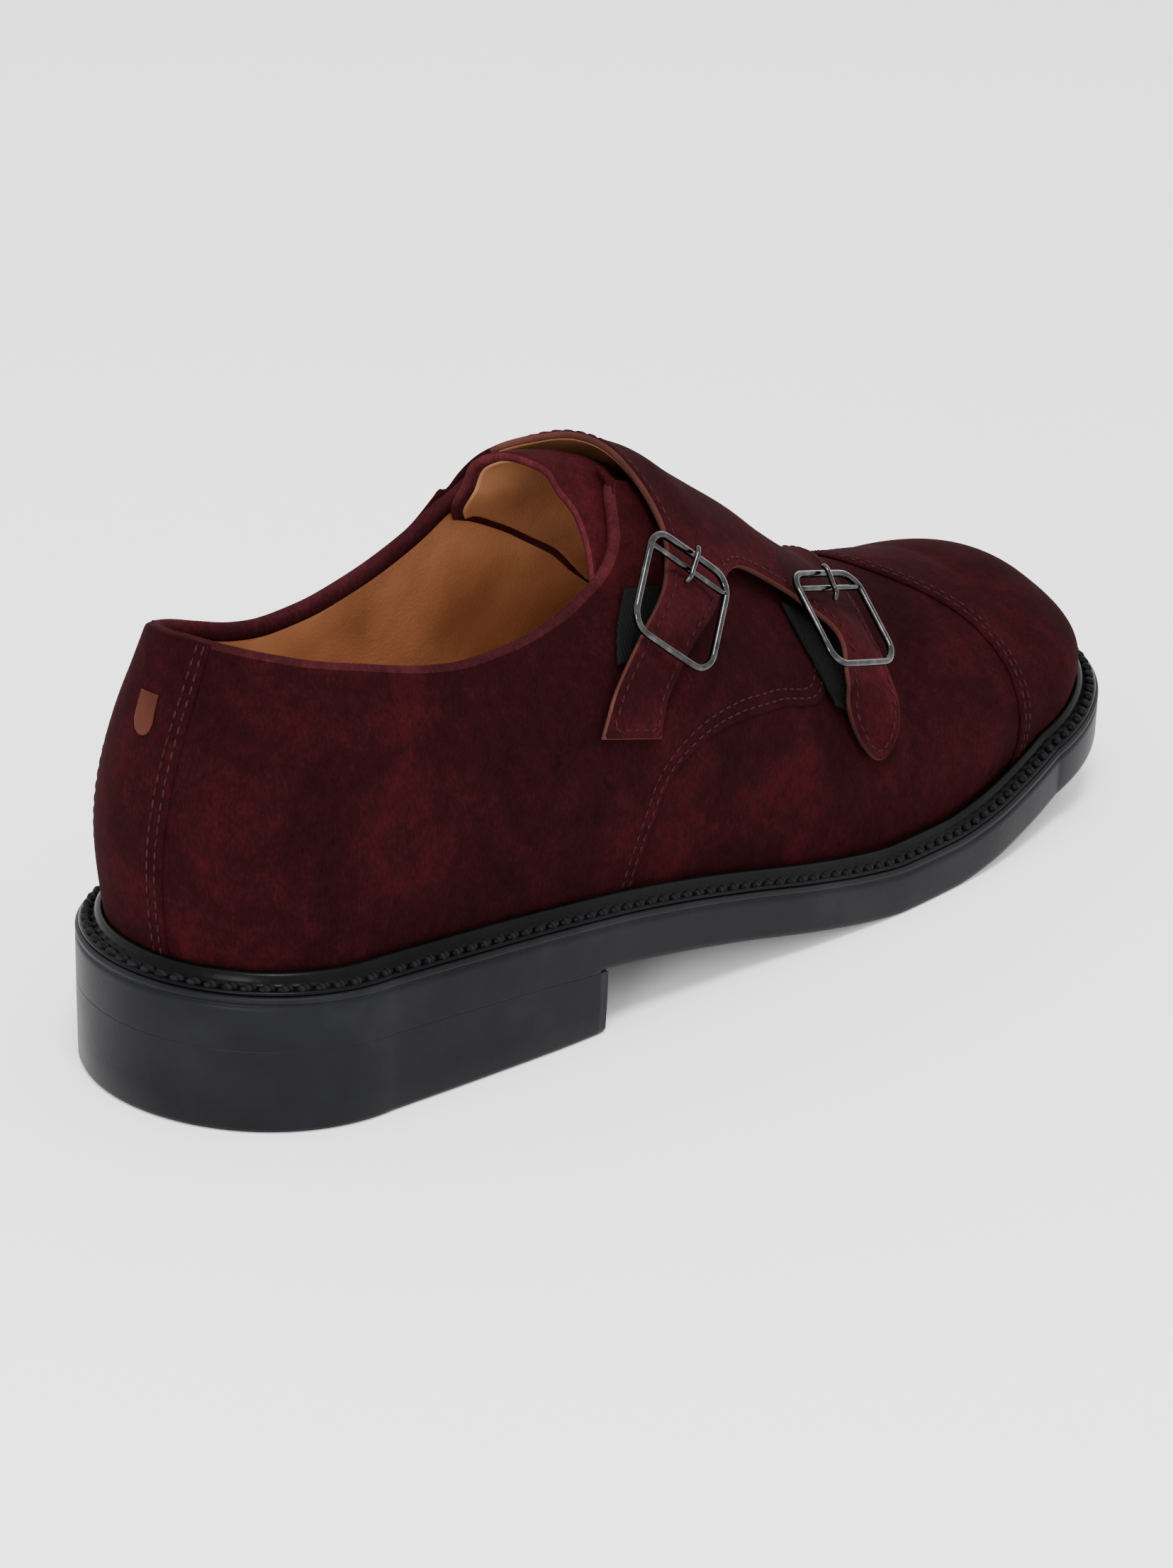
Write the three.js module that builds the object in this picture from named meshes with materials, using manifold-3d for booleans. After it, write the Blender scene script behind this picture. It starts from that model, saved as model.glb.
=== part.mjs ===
// Double monk strap shoe, right foot, one rigid body. Millimetres, +X toe, +Y medial, +Z up.
import * as THREE from "three";
import Module from "manifold-3d";

const wasm = await Module();
wasm.setup();
const { Manifold, Mesh: SolidMesh } = wasm;

// ---- driving dimensions -------------------------------------------------
const HEEL_AXIS = 36; // the back of the shoe turns round this upright axis
const TOE_AXIS = 250; // the toe turns round this one
const WALL = 2.4; // leather and lining together
const GAP = 0.3; // clearance between neighbouring pieces
const WELT_WIDTH = 7; // outsole edge beyond the upper
const OUTSOLE_THICKNESS = 11.2;
const HEEL_BREAST_X = 92;
const INSOLE_THICKNESS = 3;
const FLAP_THICKNESS = 2;
const TONGUE_THICKNESS = 2;
const TAB_THICKNESS = 1.1;
const ROD_RADIUS = 0.95; // buckle frame rod
const BAR_RADIUS = 0.75; // inner bar the prong turns on
const PRONG_RADIUS = 0.7;
const FRAME_WIDTH = 23.6; // buckle frame, centre to centre of the rod, across the strap
const FRAME_HEIGHT = 22.4; // along the strap
const FRAME_CORNER = 4.5;
const FRAME_BOW = 0.25; // rise of the frame's middle over its plane
const LOOP_OVERLAP = 0.8; // the two halves of the wire reach into each other
const BAR_FROM_TOP = 3.8; // bar position below the frame's top side
const END_STEPS = 8; // fan sections at heel and toe
const GIRTH_STEPS = 11; // points from the feather edge to the ridge
const SMALLEST_EDGE = 0.04; // slivers left by cutting are closed up below this

// ---- tables -------------------------------------------------------------
// feather edge of the upper: half width to each side
const featherRows = [
  { x: 36, lateral: 31.6, medial: 30.8 },
  { x: 60, lateral: 34.6, medial: 27.6 },
  { x: 85, lateral: 37.2, medial: 24.4 },
  { x: 110, lateral: 38.6, medial: 22.9 },
  { x: 135, lateral: 40.4, medial: 24.6 },
  { x: 160, lateral: 42.8, medial: 30 },
  { x: 190, lateral: 44.4, medial: 37 },
  { x: 215, lateral: 43.8, medial: 40.2 },
  { x: 235, lateral: 41.4, medial: 39.6 },
  { x: 250, lateral: 38.6, medial: 37 },
];
// top face of the outsole above the ground: heel seat, arch, flat forepart, toe spring
const soleRows = [
  { x: 0, top: 29.2 },
  { x: 40, top: 28.3 },
  { x: 75, top: 26.8 },
  { x: 95, top: 25 },
  { x: 115, top: 22.3 },
  { x: 135, top: 18.9 },
  { x: 155, top: 15.2 },
  { x: 172, top: 12.5 },
  { x: 186, top: 11.2 },
  { x: 204, top: 11.2 },
  { x: 220, top: 12.9 },
  { x: 240, top: 16.6 },
  { x: 262, top: 21.3 },
  { x: 282, top: 25.2 },
  { x: 300, top: 27.8 },
];
// cross sections: widest half widths (bulge) and their height over the feather edge,
// shoulder half widths and height, and the ridge height
const sectionColumns = [
  "x", "bulgeL", "bulgeM", "bulgeUp", "shoulderL", "shoulderM", "shoulderZ", "ridgeZ",
];
const sectionRows = [
  [36, 33.4, 32.6, 20, 27.2, 22.8, 80, 117],
  [60, 36.2, 30, 20, 28.6, 23.2, 76, 115],
  [85, 38.8, 28, 20, 30.6, 23.4, 76, 113.5],
  [105, 39.8, 27.6, 19, 31.5, 23.2, 78, 112],
  [125, 40.7, 28.6, 17.7, 31, 22.8, 77, 109],
  [140, 41.8, 30.2, 17, 31, 22.8, 72, 104.2],
  [150, 42.7, 31.8, 16.5, 31, 23, 68.5, 97.9],
  [160, 43.6, 33.6, 16, 31, 23.6, 64, 91.9],
  [170, 44.4, 35.7, 15.5, 31, 24.4, 60, 85.9],
  [180, 45, 37.6, 15, 31, 25.6, 56, 78.8],
  [190, 45.5, 39.3, 14.5, 31.2, 27, 52.5, 72.2],
  [200, 45.8, 40.6, 14, 31.5, 28.4, 49.5, 66.8],
  [210, 45.8, 41.6, 13.5, 32.2, 29.6, 48.2, 64.3],
  [220, 45.4, 42, 13, 32.5, 30.5, 47.5, 62.4],
  [235, 43.4, 41.2, 12.5, 32, 30.5, 46.5, 59.8],
  [250, 40.6, 39, 12, 30.5, 29.5, 45.5, 57],
].map((row) => Object.fromEntries(sectionColumns.map((name, k) => [name, row[k]])));
// profile down the back seam and down the toe: reach from the turning axis, and height
const backRows = [
  { reach: 28.8, z: 29.5 },
  { reach: 31, z: 56 },
  { reach: 26.4, z: 84 },
  { reach: 0, z: 117 },
];
const toeRows = [
  { reach: 42, z: 27.3 },
  { reach: 41.4, z: 36.4 },
  { reach: 31, z: 48.2 },
  { reach: 0, z: 57 },
];
// top line of the quarters; past the last row the leather is not cut from above
const collarRows = [
  { x: 0, lateral: 97, medial: 97 },
  { x: 10, lateral: 96.2, medial: 96.2 },
  { x: 20, lateral: 93.6, medial: 92.6 },
  { x: 29, lateral: 91.1, medial: 89.7 },
  { x: 39, lateral: 88.5, medial: 86.4 },
  { x: 48, lateral: 86, medial: 83.8 },
  { x: 57, lateral: 83.8, medial: 82.6 },
  { x: 68, lateral: 82.5, medial: 83.2 },
  { x: 80, lateral: 83, medial: 85.8 },
  { x: 91, lateral: 84.6, medial: 89.8 },
  { x: 100, lateral: 87.2, medial: 95 },
  { x: 104, lateral: 88.6, medial: 99.4 },
  { x: 107.5, lateral: 89.6, medial: 103.6 },
  { x: 112, lateral: 91.4, medial: 107.8 },
  { x: 116, lateral: 93.6, medial: 110.5 },
  { x: 118.7, lateral: 96, medial: 112 },
  { x: 121, lateral: 99.6, medial: 113 },
  { x: 125, lateral: 104.6, medial: 114.5 },
  { x: 128, lateral: 112, medial: 118 },
];
// throat between the quarters, seen from above
const throatRows = [
  { x: 96, lateral: 13, medial: 12 },
  { x: 125, lateral: 13, medial: 12 },
  { x: 150, lateral: 12, medial: 11 },
  { x: 172, lateral: 10.5, medial: 10 },
  { x: 182, lateral: 8, medial: 8 },
  { x: 187, lateral: 4, medial: 4 },
  { x: 188, lateral: 1, medial: 1 },
];
// flat patterns laid on the last: girth is the distance round from the ridge
// (medial positive), rear and front are the edges along the shoe
const flapRows = [
  { girth: 18, rear: 108, front: 208 },
  { girth: 12, rear: 111, front: 210.5 },
  { girth: 8, rear: 115, front: 211.5 },
  { girth: 5, rear: 120, front: 211.3 },
  { girth: 2, rear: 125.5, front: 210.6 },
  { girth: -1, rear: 128.5, front: 209.6 },
  { girth: -6, rear: 129.2, front: 207 },
  { girth: -12, rear: 128.8, front: 203 },
  { girth: -19, rear: 128.4, front: 199 },
  { girth: -26, rear: 126.5, front: 196 },
  { girth: -31, rear: 124.4, front: 194.5 },
];
const rearStrapRows = [
  { girth: -26, rear: 126.5, front: 150 },
  { girth: -31, rear: 124.4, front: 147 },
  { girth: -37, rear: 120.7, front: 141 },
  { girth: -44, rear: 115.3, front: 133 },
  { girth: -50, rear: 108.8, front: 126 },
  { girth: -57, rear: 101.8, front: 119.6 },
  { girth: -63, rear: 97.8, front: 114.6 },
  { girth: -66, rear: 95.9, front: 112.6 },
];
const frontStrapRows = [
  { girth: -26, rear: 166, front: 196 },
  { girth: -31, rear: 171, front: 194.4 },
  { girth: -37, rear: 176.6, front: 192.8 },
  { girth: -44, rear: 177.2, front: 192 },
  { girth: -51, rear: 174.8, front: 191 },
  { girth: -57, rear: 174.4, front: 188.2 },
  { girth: -61, rear: 176, front: 185 },
  { girth: -63.4, rear: 178.6, front: 181.2 },
];
const tabRearRows = [
  { girth: -38, rear: 113, front: 134 },
  { girth: -46, rear: 107, front: 125 },
  { girth: -53, rear: 104, front: 119 },
];
const tabFrontRows = [
  { girth: -33, rear: 167, front: 187 },
  { girth: -43, rear: 168, front: 187 },
  { girth: -54, rear: 170.6, front: 186 },
];
const tongueRows = [
  { girth: 30, rear: 112, front: 150 },
  { girth: 27, rear: 107, front: 166 },
  { girth: 22, rear: 104.5, front: 178 },
  { girth: 16, rear: 104.5, front: 188 },
  { girth: 9, rear: 106, front: 196 },
  { girth: 0, rear: 108, front: 200 },
  { girth: -9, rear: 109, front: 196 },
  { girth: -16, rear: 110.5, front: 186 },
  { girth: -22, rear: 113, front: 174 },
];
// how far the underside of the flap and straps stands off the upper
const flapLiftRows = [
  { girth: -70, lift: 0.5 },
  { girth: -62, lift: 0.8 },
  { girth: -54, lift: 1.8 },
  { girth: -47, lift: 2.7 },
  { girth: -32, lift: 2.7 },
  { girth: -22, lift: 1.8 },
  { girth: -10, lift: 0.7 },
  { girth: 18, lift: 0.4 },
];
// buckles: the frame's middle, and its directions across and down the strap
const buckleRows = [
  {
    name: "rear",
    middle: [122.8, -35, 84],
    across: [0.76, -0.244, -0.602],
    down: [-0.649, -0.328, -0.687],
  },
  {
    name: "front",
    middle: [179.5, -34.2, 66.3],
    across: [0.974, 0.032, -0.225],
    down: [-0.137, -0.708, -0.693],
  },
];

// ---- curve helpers ------------------------------------------------------
// smooth curve through rows that never overshoots them
function column(rows, key, name) {
  const xs = rows.map((r) => r[key]);
  const ys = rows.map((r) => r[name]);
  const h = xs.slice(1).map((x, i) => x - xs[i]);
  const d = h.map((w, i) => (ys[i + 1] - ys[i]) / w);
  const m = xs.map((_, i) => {
    if (i === 0) return d[0];
    if (i === xs.length - 1) return d[i - 1];
    if (d[i - 1] * d[i] <= 0) return 0;
    const a = 2 * h[i] + h[i - 1];
    const b = h[i] + 2 * h[i - 1];
    return (a + b) / (a / d[i - 1] + b / d[i]);
  });
  return (value) => {
    const x = Math.min(Math.max(value, xs[0]), xs[xs.length - 1]);
    let i = 0;
    while (i < h.length - 1 && x >= xs[i + 1]) i += 1;
    const t = (x - xs[i]) / h[i];
    const s = 1 - t;
    return (1 + 2 * t) * s * s * ys[i] + t * s * s * h[i] * m[i]
      + t * t * (3 - 2 * t) * ys[i + 1] - t * t * s * h[i] * m[i + 1];
  };
}
const range = (n) => Array.from({ length: n }, (_, i) => i);
const soleTop = column(soleRows, "x", "top");
const sectionCurve = {};
for (const name of Object.keys(sectionRows[0])) {
  sectionCurve[name] = column(sectionRows, "x", name);
}
const featherWidth = {
  "-1": column(featherRows, "x", "lateral"),
  1: column(featherRows, "x", "medial"),
};

// points along a smooth profile; it ends level, on the ridge
function profile(points, count) {
  const spans = points.slice(1).map((p, i) => p.distanceTo(points[i]));
  const dirs = points.slice(1).map((p, i) => p.clone().sub(points[i]).divideScalar(spans[i]));
  const tangents = points.map((p, i) => {
    if (i === 0 || i === points.length - 1) return new THREE.Vector2(-1, 0);
    const mix = dirs[i - 1].clone().multiplyScalar(spans[i]);
    return mix.addScaledVector(dirs[i], spans[i - 1]).divideScalar(spans[i] + spans[i - 1]);
  });
  tangents[0] = dirs[0].clone().multiplyScalar(1.5).addScaledVector(tangents[1], -0.5);
  const total = spans.reduce((a, b) => a + b, 0);
  return range(count).map((k) => {
    let q = (total * k) / (count - 1);
    let i = 0;
    while (i < spans.length - 1 && q >= spans[i]) {
      q -= spans[i];
      i += 1;
    }
    const t = q / spans[i];
    const s = 1 - t;
    return points[i].clone().multiplyScalar((1 + 2 * t) * s * s)
      .addScaledVector(tangents[i], spans[i] * t * s * s)
      .addScaledVector(points[i + 1], t * t * (3 - 2 * t))
      .addScaledVector(tangents[i + 1], -spans[i] * t * t * s);
  });
}

// ---- the last -----------------------------------------------------------
// corner points of one side's section at x: out from the middle, and height
function sideCorners(side, x) {
  const tag = side < 0 ? "L" : "M";
  const foot = soleTop(x) + GAP;
  return [
    new THREE.Vector2(featherWidth[side](x), foot),
    new THREE.Vector2(sectionCurve[`bulge${tag}`](x), foot + sectionCurve.bulgeUp(x)),
    new THREE.Vector2(sectionCurve[`shoulder${tag}`](x), sectionCurve.shoulderZ(x)),
    new THREE.Vector2(0, sectionCurve.ridgeZ(x)),
  ];
}

// one half section as 3-D points from the feather edge to the ridge
function halfSection(station, side, count) {
  if (station.end === 0) {
    return profile(sideCorners(side, station.x), count)
      .map((p) => new THREE.Vector3(station.x, side * p.x, p.y));
  }
  const axis = station.end < 0 ? HEEL_AXIS : TOE_AXIS;
  const ends = station.end < 0 ? backRows : toeRows;
  const power = station.end < 0 ? 2 : 1.95;
  const ca = Math.cos(station.turn);
  const sa = Math.sin(station.turn);
  let settle = 0; // keeps the feather edge on the sole all the way round
  const corners = sideCorners(side, axis).map((p, i) => {
    if (p.x < 1e-9) return new THREE.Vector2(0, p.y);
    const sum = (ca / p.x) ** power + (sa / ends[i].reach) ** power;
    const reach = sum ** (-1 / power);
    const height = p.y * ca * ca + ends[i].z * sa * sa;
    if (i === 0) settle = soleTop(axis + station.end * sa * reach) + GAP - height;
    return new THREE.Vector2(reach, height + (i < 2 ? settle : 0));
  });
  return profile(corners, count)
    .map((p) => new THREE.Vector3(axis + station.end * sa * p.x, side * ca * p.x, p.y));
}

const midStations = [36, 48, 60, 72, 84, 95, 105, 114, 122, 131, 140, 150, 160, 170, 180, 190,
  200, 210, 220, 230, 240, 250];
const stations = [
  ...range(END_STEPS).map((i) => ({ end: -1, turn: (Math.PI / 2) * (1 - i / END_STEPS) })),
  ...midStations.map((x) => ({ end: 0, x })),
  ...range(END_STEPS).map((i) => ({ end: 1, turn: (Math.PI / 2) * ((i + 1) / END_STEPS) })),
];
// the last as rows of points, lateral feather edge over the ridge to the medial one
const lastGrid = stations.map((s) => {
  const lateral = halfSection(s, -1, GIRTH_STEPS);
  const medial = halfSection(s, 1, GIRTH_STEPS);
  return [...lateral, ...medial.reverse().slice(1)];
});

// outward normals of a grid of points
function gridNormals(grid) {
  const n = grid.length;
  const m = grid[0].length;
  return grid.map((row, i) => row.map((p, j) => {
    const along = grid[Math.min(i + 1, n - 1)][j].clone().sub(grid[Math.max(i - 1, 0)][j]);
    const round = row[Math.min(j + 1, m - 1)].clone().sub(row[Math.max(j - 1, 0)]);
    const onAxis = along.length() < 0.01;
    if (onAxis && j === (m - 1) / 2) return new THREE.Vector3(0, 0, 1);
    if (i === 0 || i === n - 1) {
      // both halves share this section: the normal lies in its plane
      const turned = new THREE.Vector3(i === 0 ? -1 : 1, 0, 0);
      if (j === (m - 1) / 2) return new THREE.Vector3(0, 0, 1);
      const level = new THREE.Vector3(0, 1, 0).cross(round);
      if (level.dot(turned) < 0 || (Math.abs(level.x) < 1e-6 && level.z < 0)) level.negate();
      return level.normalize();
    }
    return along.cross(round).normalize();
  }));
}

// ---- solids -------------------------------------------------------------
// closed solid from triangles given as triples of points; equal points are joined
function solidOf(triangles) {
  const index = new Map();
  const verts = [];
  const tris = [];
  const idOf = (p) => {
    const key = [p.x, p.y, p.z].map((v) => Math.round(v * 1e4)).join(",");
    if (!index.has(key)) {
      index.set(key, verts.length / 3);
      verts.push(p.x, p.y, p.z);
    }
    return index.get(key);
  };
  for (const [a, b, c] of triangles) {
    const ids = [idOf(a), idOf(b), idOf(c)];
    if (new Set(ids).size === 3) tris.push(...ids);
  }
  const mesh = new SolidMesh({
    numProp: 3,
    vertProperties: new Float32Array(verts),
    triVerts: new Uint32Array(tris),
  });
  const solid = new Manifold(mesh);
  return solid.volume() < 0 ? new Manifold(new SolidMesh({
    numProp: 3,
    vertProperties: new Float32Array(verts),
    triVerts: new Uint32Array(tris).reverse(),
  })) : solid;
}
function quads(a, b) {
  // strip between two equally long rows of points
  return range(a.length - 1).flatMap((i) => [[a[i], b[i], b[i + 1]], [a[i], b[i + 1], a[i + 1]]]);
}
// solid under a lasted grid, closed across the bottom
function lastSolid(grid) {
  const tris = range(grid.length - 1).flatMap((i) => quads(grid[i], grid[i + 1]));
  const left = grid.map((row) => row[0]);
  const right = grid.map((row) => row[row.length - 1]);
  return solidOf([...tris, ...quads(left, right)]);
}
// solid between two grids of the same size
function sheetSolid(lower, upper) {
  const tris = [];
  const last = lower.length - 1;
  const edge = lower[0].length - 1;
  for (const i of range(last)) {
    tris.push(...quads(upper[i], upper[i + 1]));
    tris.push(...quads(lower[i + 1], lower[i]));
  }
  tris.push(...quads(lower[0], upper[0]), ...quads(upper[last], lower[last]));
  tris.push(...quads(upper.map((r) => r[0]), lower.map((r) => r[0])));
  tris.push(...quads(lower.map((r) => r[edge]), upper.map((r) => r[edge])));
  return solidOf(tris);
}

// feather edge outline in pairs of lateral and medial points, with outward directions
const outline = (() => {
  const sides = [-1, 1].map((side) => stations.map((s) => {
    const p = halfSection(s, side, 2)[0];
    return new THREE.Vector3(p.x, p.y, 0);
  }));
  return sides.map((points, k) => points.map((p, i) => {
    const n = points.length - 1;
    if (i === 0 || i === n) return { p, out: new THREE.Vector3(i === 0 ? -1 : 1, 0, 0) };
    const t = points[i + 1].clone().sub(points[i - 1]);
    const out = new THREE.Vector3(t.y, -t.x, 0).normalize();
    return { p, out: k === 0 ? out : out.negate() };
  }));
})();
// the outline moved out by a distance, at a height over the outsole's top face
function edgeLine(side, distance, height) {
  return outline[side].map(({ p, out }) => {
    const q = p.clone().addScaledVector(out, distance);
    q.z = height(q.x);
    return q;
  });
}
// slab inside the outline, between two height functions, from x start to x end
function slab(distance, bottom, top, end = Infinity) {
  const keep = (line) => {
    const points = line.filter((p) => p.x < end - 0.5);
    if (points.length === line.length) return points;
    const a = points[points.length - 1];
    const b = line[points.length];
    const t = (end - a.x) / (b.x - a.x);
    const last = a.clone().lerp(b, t);
    return [...points, last];
  };
  const rows = [bottom, top].map((height) => [0, 1].map((side) => {
    const line = keep(edgeLine(side, distance, height));
    line.forEach((p) => { p.z = height(p.x); });
    return line;
  }));
  const [low, high] = rows;
  const tris = [...quads(high[0], high[1]), ...quads(low[1], low[0])];
  tris.push(...quads(low[0], high[0]), ...quads(high[1], low[1]));
  if (end !== Infinity) {
    const at = (r) => r[r.length - 1];
    tris.push(...quads([at(high[0]), at(low[0])], [at(high[1]), at(low[1])]));
  }
  return solidOf(tris);
}
// closed strip round the outline from a section of (out, up) corners
function ringSolid(corners) {
  const loops = corners.map(({ out, up }) => {
    const height = (x) => soleTop(x) + up;
    const lateral = edgeLine(0, out, height);
    const medial = edgeLine(1, out, height).reverse().slice(1, -1);
    const loop = [...lateral, ...medial];
    return [...loop, loop[0]];
  });
  return solidOf(loops.flatMap((loop, k) => quads(loop, loops[(k + 1) % loops.length])));
}

// a point on the last at x, at a distance round from the ridge, with its normal
const FINE = 41;
function lastAt(x, girth) {
  const side = girth < 0 ? -1 : 1;
  const at = (where) => {
    const line = halfSection({ end: 0, x: where }, side, FINE).reverse();
    let rest = Math.abs(girth);
    let i = 0;
    while (i < line.length - 2 && rest > line[i].distanceTo(line[i + 1])) {
      rest -= line[i].distanceTo(line[i + 1]);
      i += 1;
    }
    const span = line[i].distanceTo(line[i + 1]);
    return { p: line[i].clone().lerp(line[i + 1], rest / span), round: line[i + 1].clone().sub(line[i]) };
  };
  const here = at(x);
  const along = at(x + 1).p.sub(at(x - 1).p);
  const normal = here.round.clone().cross(along).multiplyScalar(-side).normalize();
  return { p: here.p, normal };
}
// a flat pattern laid over the last
function pattern(rows, lift, thickness, acrossSteps, girthSteps) {
  const first = rows[0].girth;
  const lastRow = rows[rows.length - 1].girth;
  const ordered = [...rows].sort((a, b) => a.girth - b.girth);
  const rear = column(ordered, "girth", "rear");
  const front = column(ordered, "girth", "front");
  const build = (extra) => range(girthSteps + 1).map((j) => {
    const girth = first + ((lastRow - first) * j) / girthSteps;
    return range(acrossSteps + 1).map((i) => {
      const x = rear(girth) + ((front(girth) - rear(girth)) * i) / acrossSteps;
      const { p, normal } = lastAt(x, girth);
      return p.addScaledVector(normal, lift(girth, x) + extra);
    });
  });
  return sheetSolid(build(0), build(thickness));
}

// ---- pieces -------------------------------------------------------------
const soleBottom = (x) => Math.max(soleTop(x) - OUTSOLE_THICKNESS, 0);
const outsole = slab(WELT_WIDTH, soleBottom, soleTop);
const heel = slab(WELT_WIDTH, () => 0, (x) => soleBottom(x) - GAP, HEEL_BREAST_X);
const welt = ringSolid([
  { out: 1, up: GAP },
  { out: 6.1, up: GAP },
  { out: 6.1, up: 1.5 },
  { out: 4.2, up: 2 },
  { out: 3, up: 3.4 },
  { out: 1.2, up: 3.6 },
]);
const insole = slab(-WALL - 0.5, (x) => soleTop(x) + GAP, (x) => soleTop(x) + GAP + INSOLE_THICKNESS);

const lastNormals = gridNormals(lastGrid);
const innerGrid = lastGrid.map((row, i) => {
  const moved = row.map((p, j) => p.clone().addScaledVector(lastNormals[i][j], -WALL));
  const drop = (p) => new THREE.Vector3(p.x, p.y, p.z - 6);
  return [drop(moved[0]), ...moved, drop(moved[moved.length - 1])];
});
// everything above the top line
function collarCutter() {
  const lateral = column(collarRows, "x", "lateral");
  const medial = column(collarRows, "x", "medial");
  const xs = [-20, -5, 0, 5, 10, 15, 20, 25, 29, 34, 39, 48, 57, 63, 68, 74, 80, 86, 91, 96, 100, 104,
    107.5, 110, 112, 114, 116, 117.4, 118.7, 120, 121, 123, 125, 126.5, 128];
  const ys = [-60, -24, -12, 0, 12, 24, 60];
  const mix = (y) => THREE.MathUtils.smoothstep(y, -20, 20);
  const low = xs.map((x) => ys.map((y) => {
    const z = THREE.MathUtils.lerp(lateral(x), medial(x), mix(y));
    return new THREE.Vector3(x, y, z);
  }));
  const high = low.map((row) => row.map((p) => new THREE.Vector3(p.x, p.y, 160)));
  return sheetSolid(low, high);
}
function throatCutter() {
  const raise = (z) => throatRows.map((r) => [
    new THREE.Vector3(r.x, -r.lateral, z),
    new THREE.Vector3(r.x, r.medial, z),
  ]);
  return sheetSolid(raise(60), raise(160));
}
const upper = lastSolid(lastGrid)
  .subtract(lastSolid(innerGrid))
  .subtract(collarCutter())
  .subtract(throatCutter());

// the tongue lies under the quarters and rises into the throat at its free end
function tongueLift(girth, x) {
  const inThroat = 1 - THREE.MathUtils.smoothstep(Math.abs(girth - 1), 8, 15);
  const atEnd = 1 - THREE.MathUtils.smoothstep(x, 112, 150);
  return -WALL - 0.5 - TONGUE_THICKNESS + 2.3 * inThroat * atEnd;
}
const tongue = pattern(tongueRows, tongueLift, TONGUE_THICKNESS, 12, 12);
const flapLift = column(flapLiftRows, "girth", "lift");
const flapBase = pattern(flapRows, flapLift, FLAP_THICKNESS, 12, 10);
const rearStrap = pattern(rearStrapRows, flapLift, FLAP_THICKNESS, 3, 12);
const frontStrap = pattern(frontStrapRows, flapLift, FLAP_THICKNESS, 3, 12);
const tabRear = pattern(tabRearRows, () => GAP + 0.1, TAB_THICKNESS, 3, 4);
const tabFront = pattern(tabFrontRows, () => GAP + 0.1, TAB_THICKNESS, 3, 4);

function rod(curve, radius, steps, sides = 8) {
  const shape = new THREE.Shape(range(sides).map((k) => {
    const a = (2 * Math.PI * k) / sides;
    return new THREE.Vector2(radius * Math.cos(a), radius * Math.sin(a));
  }));
  const geometry = new THREE.ExtrudeGeometry(shape, { steps, extrudePath: curve, bevelEnabled: false });
  const pos = geometry.getAttribute("position");
  const at = (i) => new THREE.Vector3().fromBufferAttribute(pos, i);
  return solidOf(range(pos.count / 3).map((k) => [at(3 * k), at(3 * k + 1), at(3 * k + 2)]));
}
// place at u across, v down and w out of a buckle's middle
function buckleSeat(row) {
  const middle = new THREE.Vector3(...row.middle);
  const across = new THREE.Vector3(...row.across).normalize();
  const down = new THREE.Vector3(...row.down).normalize();
  const out = down.clone().cross(across).normalize();
  return (u, v, w) => {
    const moved = middle.clone().addScaledVector(across, u);
    return moved.addScaledVector(down, v).addScaledVector(out, w);
  };
}
function buckle(row) {
  const seat = buckleSeat(row);
  const halfU = FRAME_WIDTH / 2;
  const halfV = FRAME_HEIGHT / 2;
  // the frame bows over the foot
  const bow = (v) => FRAME_BOW * (1 - (2 * v * v) / (halfV * halfV));
  // one half of the wire loop: two corners, and ends that reach into the other half
  const half = (side, radius) => {
    const turns = side > 0 ? [[1, 0], [-1, 90]] : [[-1, 180], [1, 270]];
    const bend = turns.flatMap(([cu, start]) => range(4).map((k) => {
      const a = THREE.MathUtils.degToRad(start + (90 * k) / 3);
      const u = cu * (halfU - FRAME_CORNER) + FRAME_CORNER * Math.cos(a);
      const v = side * (halfV - FRAME_CORNER) + FRAME_CORNER * Math.sin(a);
      return seat(u, v, bow(v));
    }));
    const end = (u) => seat(u, -side * LOOP_OVERLAP, bow(LOOP_OVERLAP));
    const line = [end(side * halfU), ...bend, end(-side * halfU)];
    return rod(new THREE.CatmullRomCurve3(line, false, "centripetal"), radius, 24);
  };
  const frame = half(1, ROD_RADIUS).add(half(-1, ROD_RADIUS - 0.05));
  const barV = -halfV + BAR_FROM_TOP;
  const barTop = bow(barV);
  const barLine = new THREE.LineCurve3(seat(-halfU, barV, barTop), seat(halfU, barV, barTop));
  const bar = rod(barLine, BAR_RADIUS, 1);
  const over = FRAME_BOW + ROD_RADIUS + PRONG_RADIUS + GAP;
  const prongLine = new THREE.LineCurve3(seat(0, barV + 2.6, over), seat(0, -halfV - 2, over));
  const prong = rod(prongLine, PRONG_RADIUS, 1);
  return { frame: frame.add(bar), prong };
}
const rearBuckle = buckle(buckleRows[0]);
const frontBuckle = buckle(buckleRows[1]);

// ---- scene --------------------------------------------------------------
const materials = {
  suede: { color: 0x4a171d, roughness: 0.95 },
  lining: { color: 0x9a6236, roughness: 0.6 },
  rubber: { color: 0x333338, roughness: 0.7 },
  welt: { color: 0x1d1d20, roughness: 0.7 },
  elastic: { color: 0x19181a, roughness: 0.9 },
  nickel: { color: 0x6b6a6c, roughness: 0.3, metalness: 1 },
};
const group = new THREE.Group();
group.name = "double_monk_strap_shoe";
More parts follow.
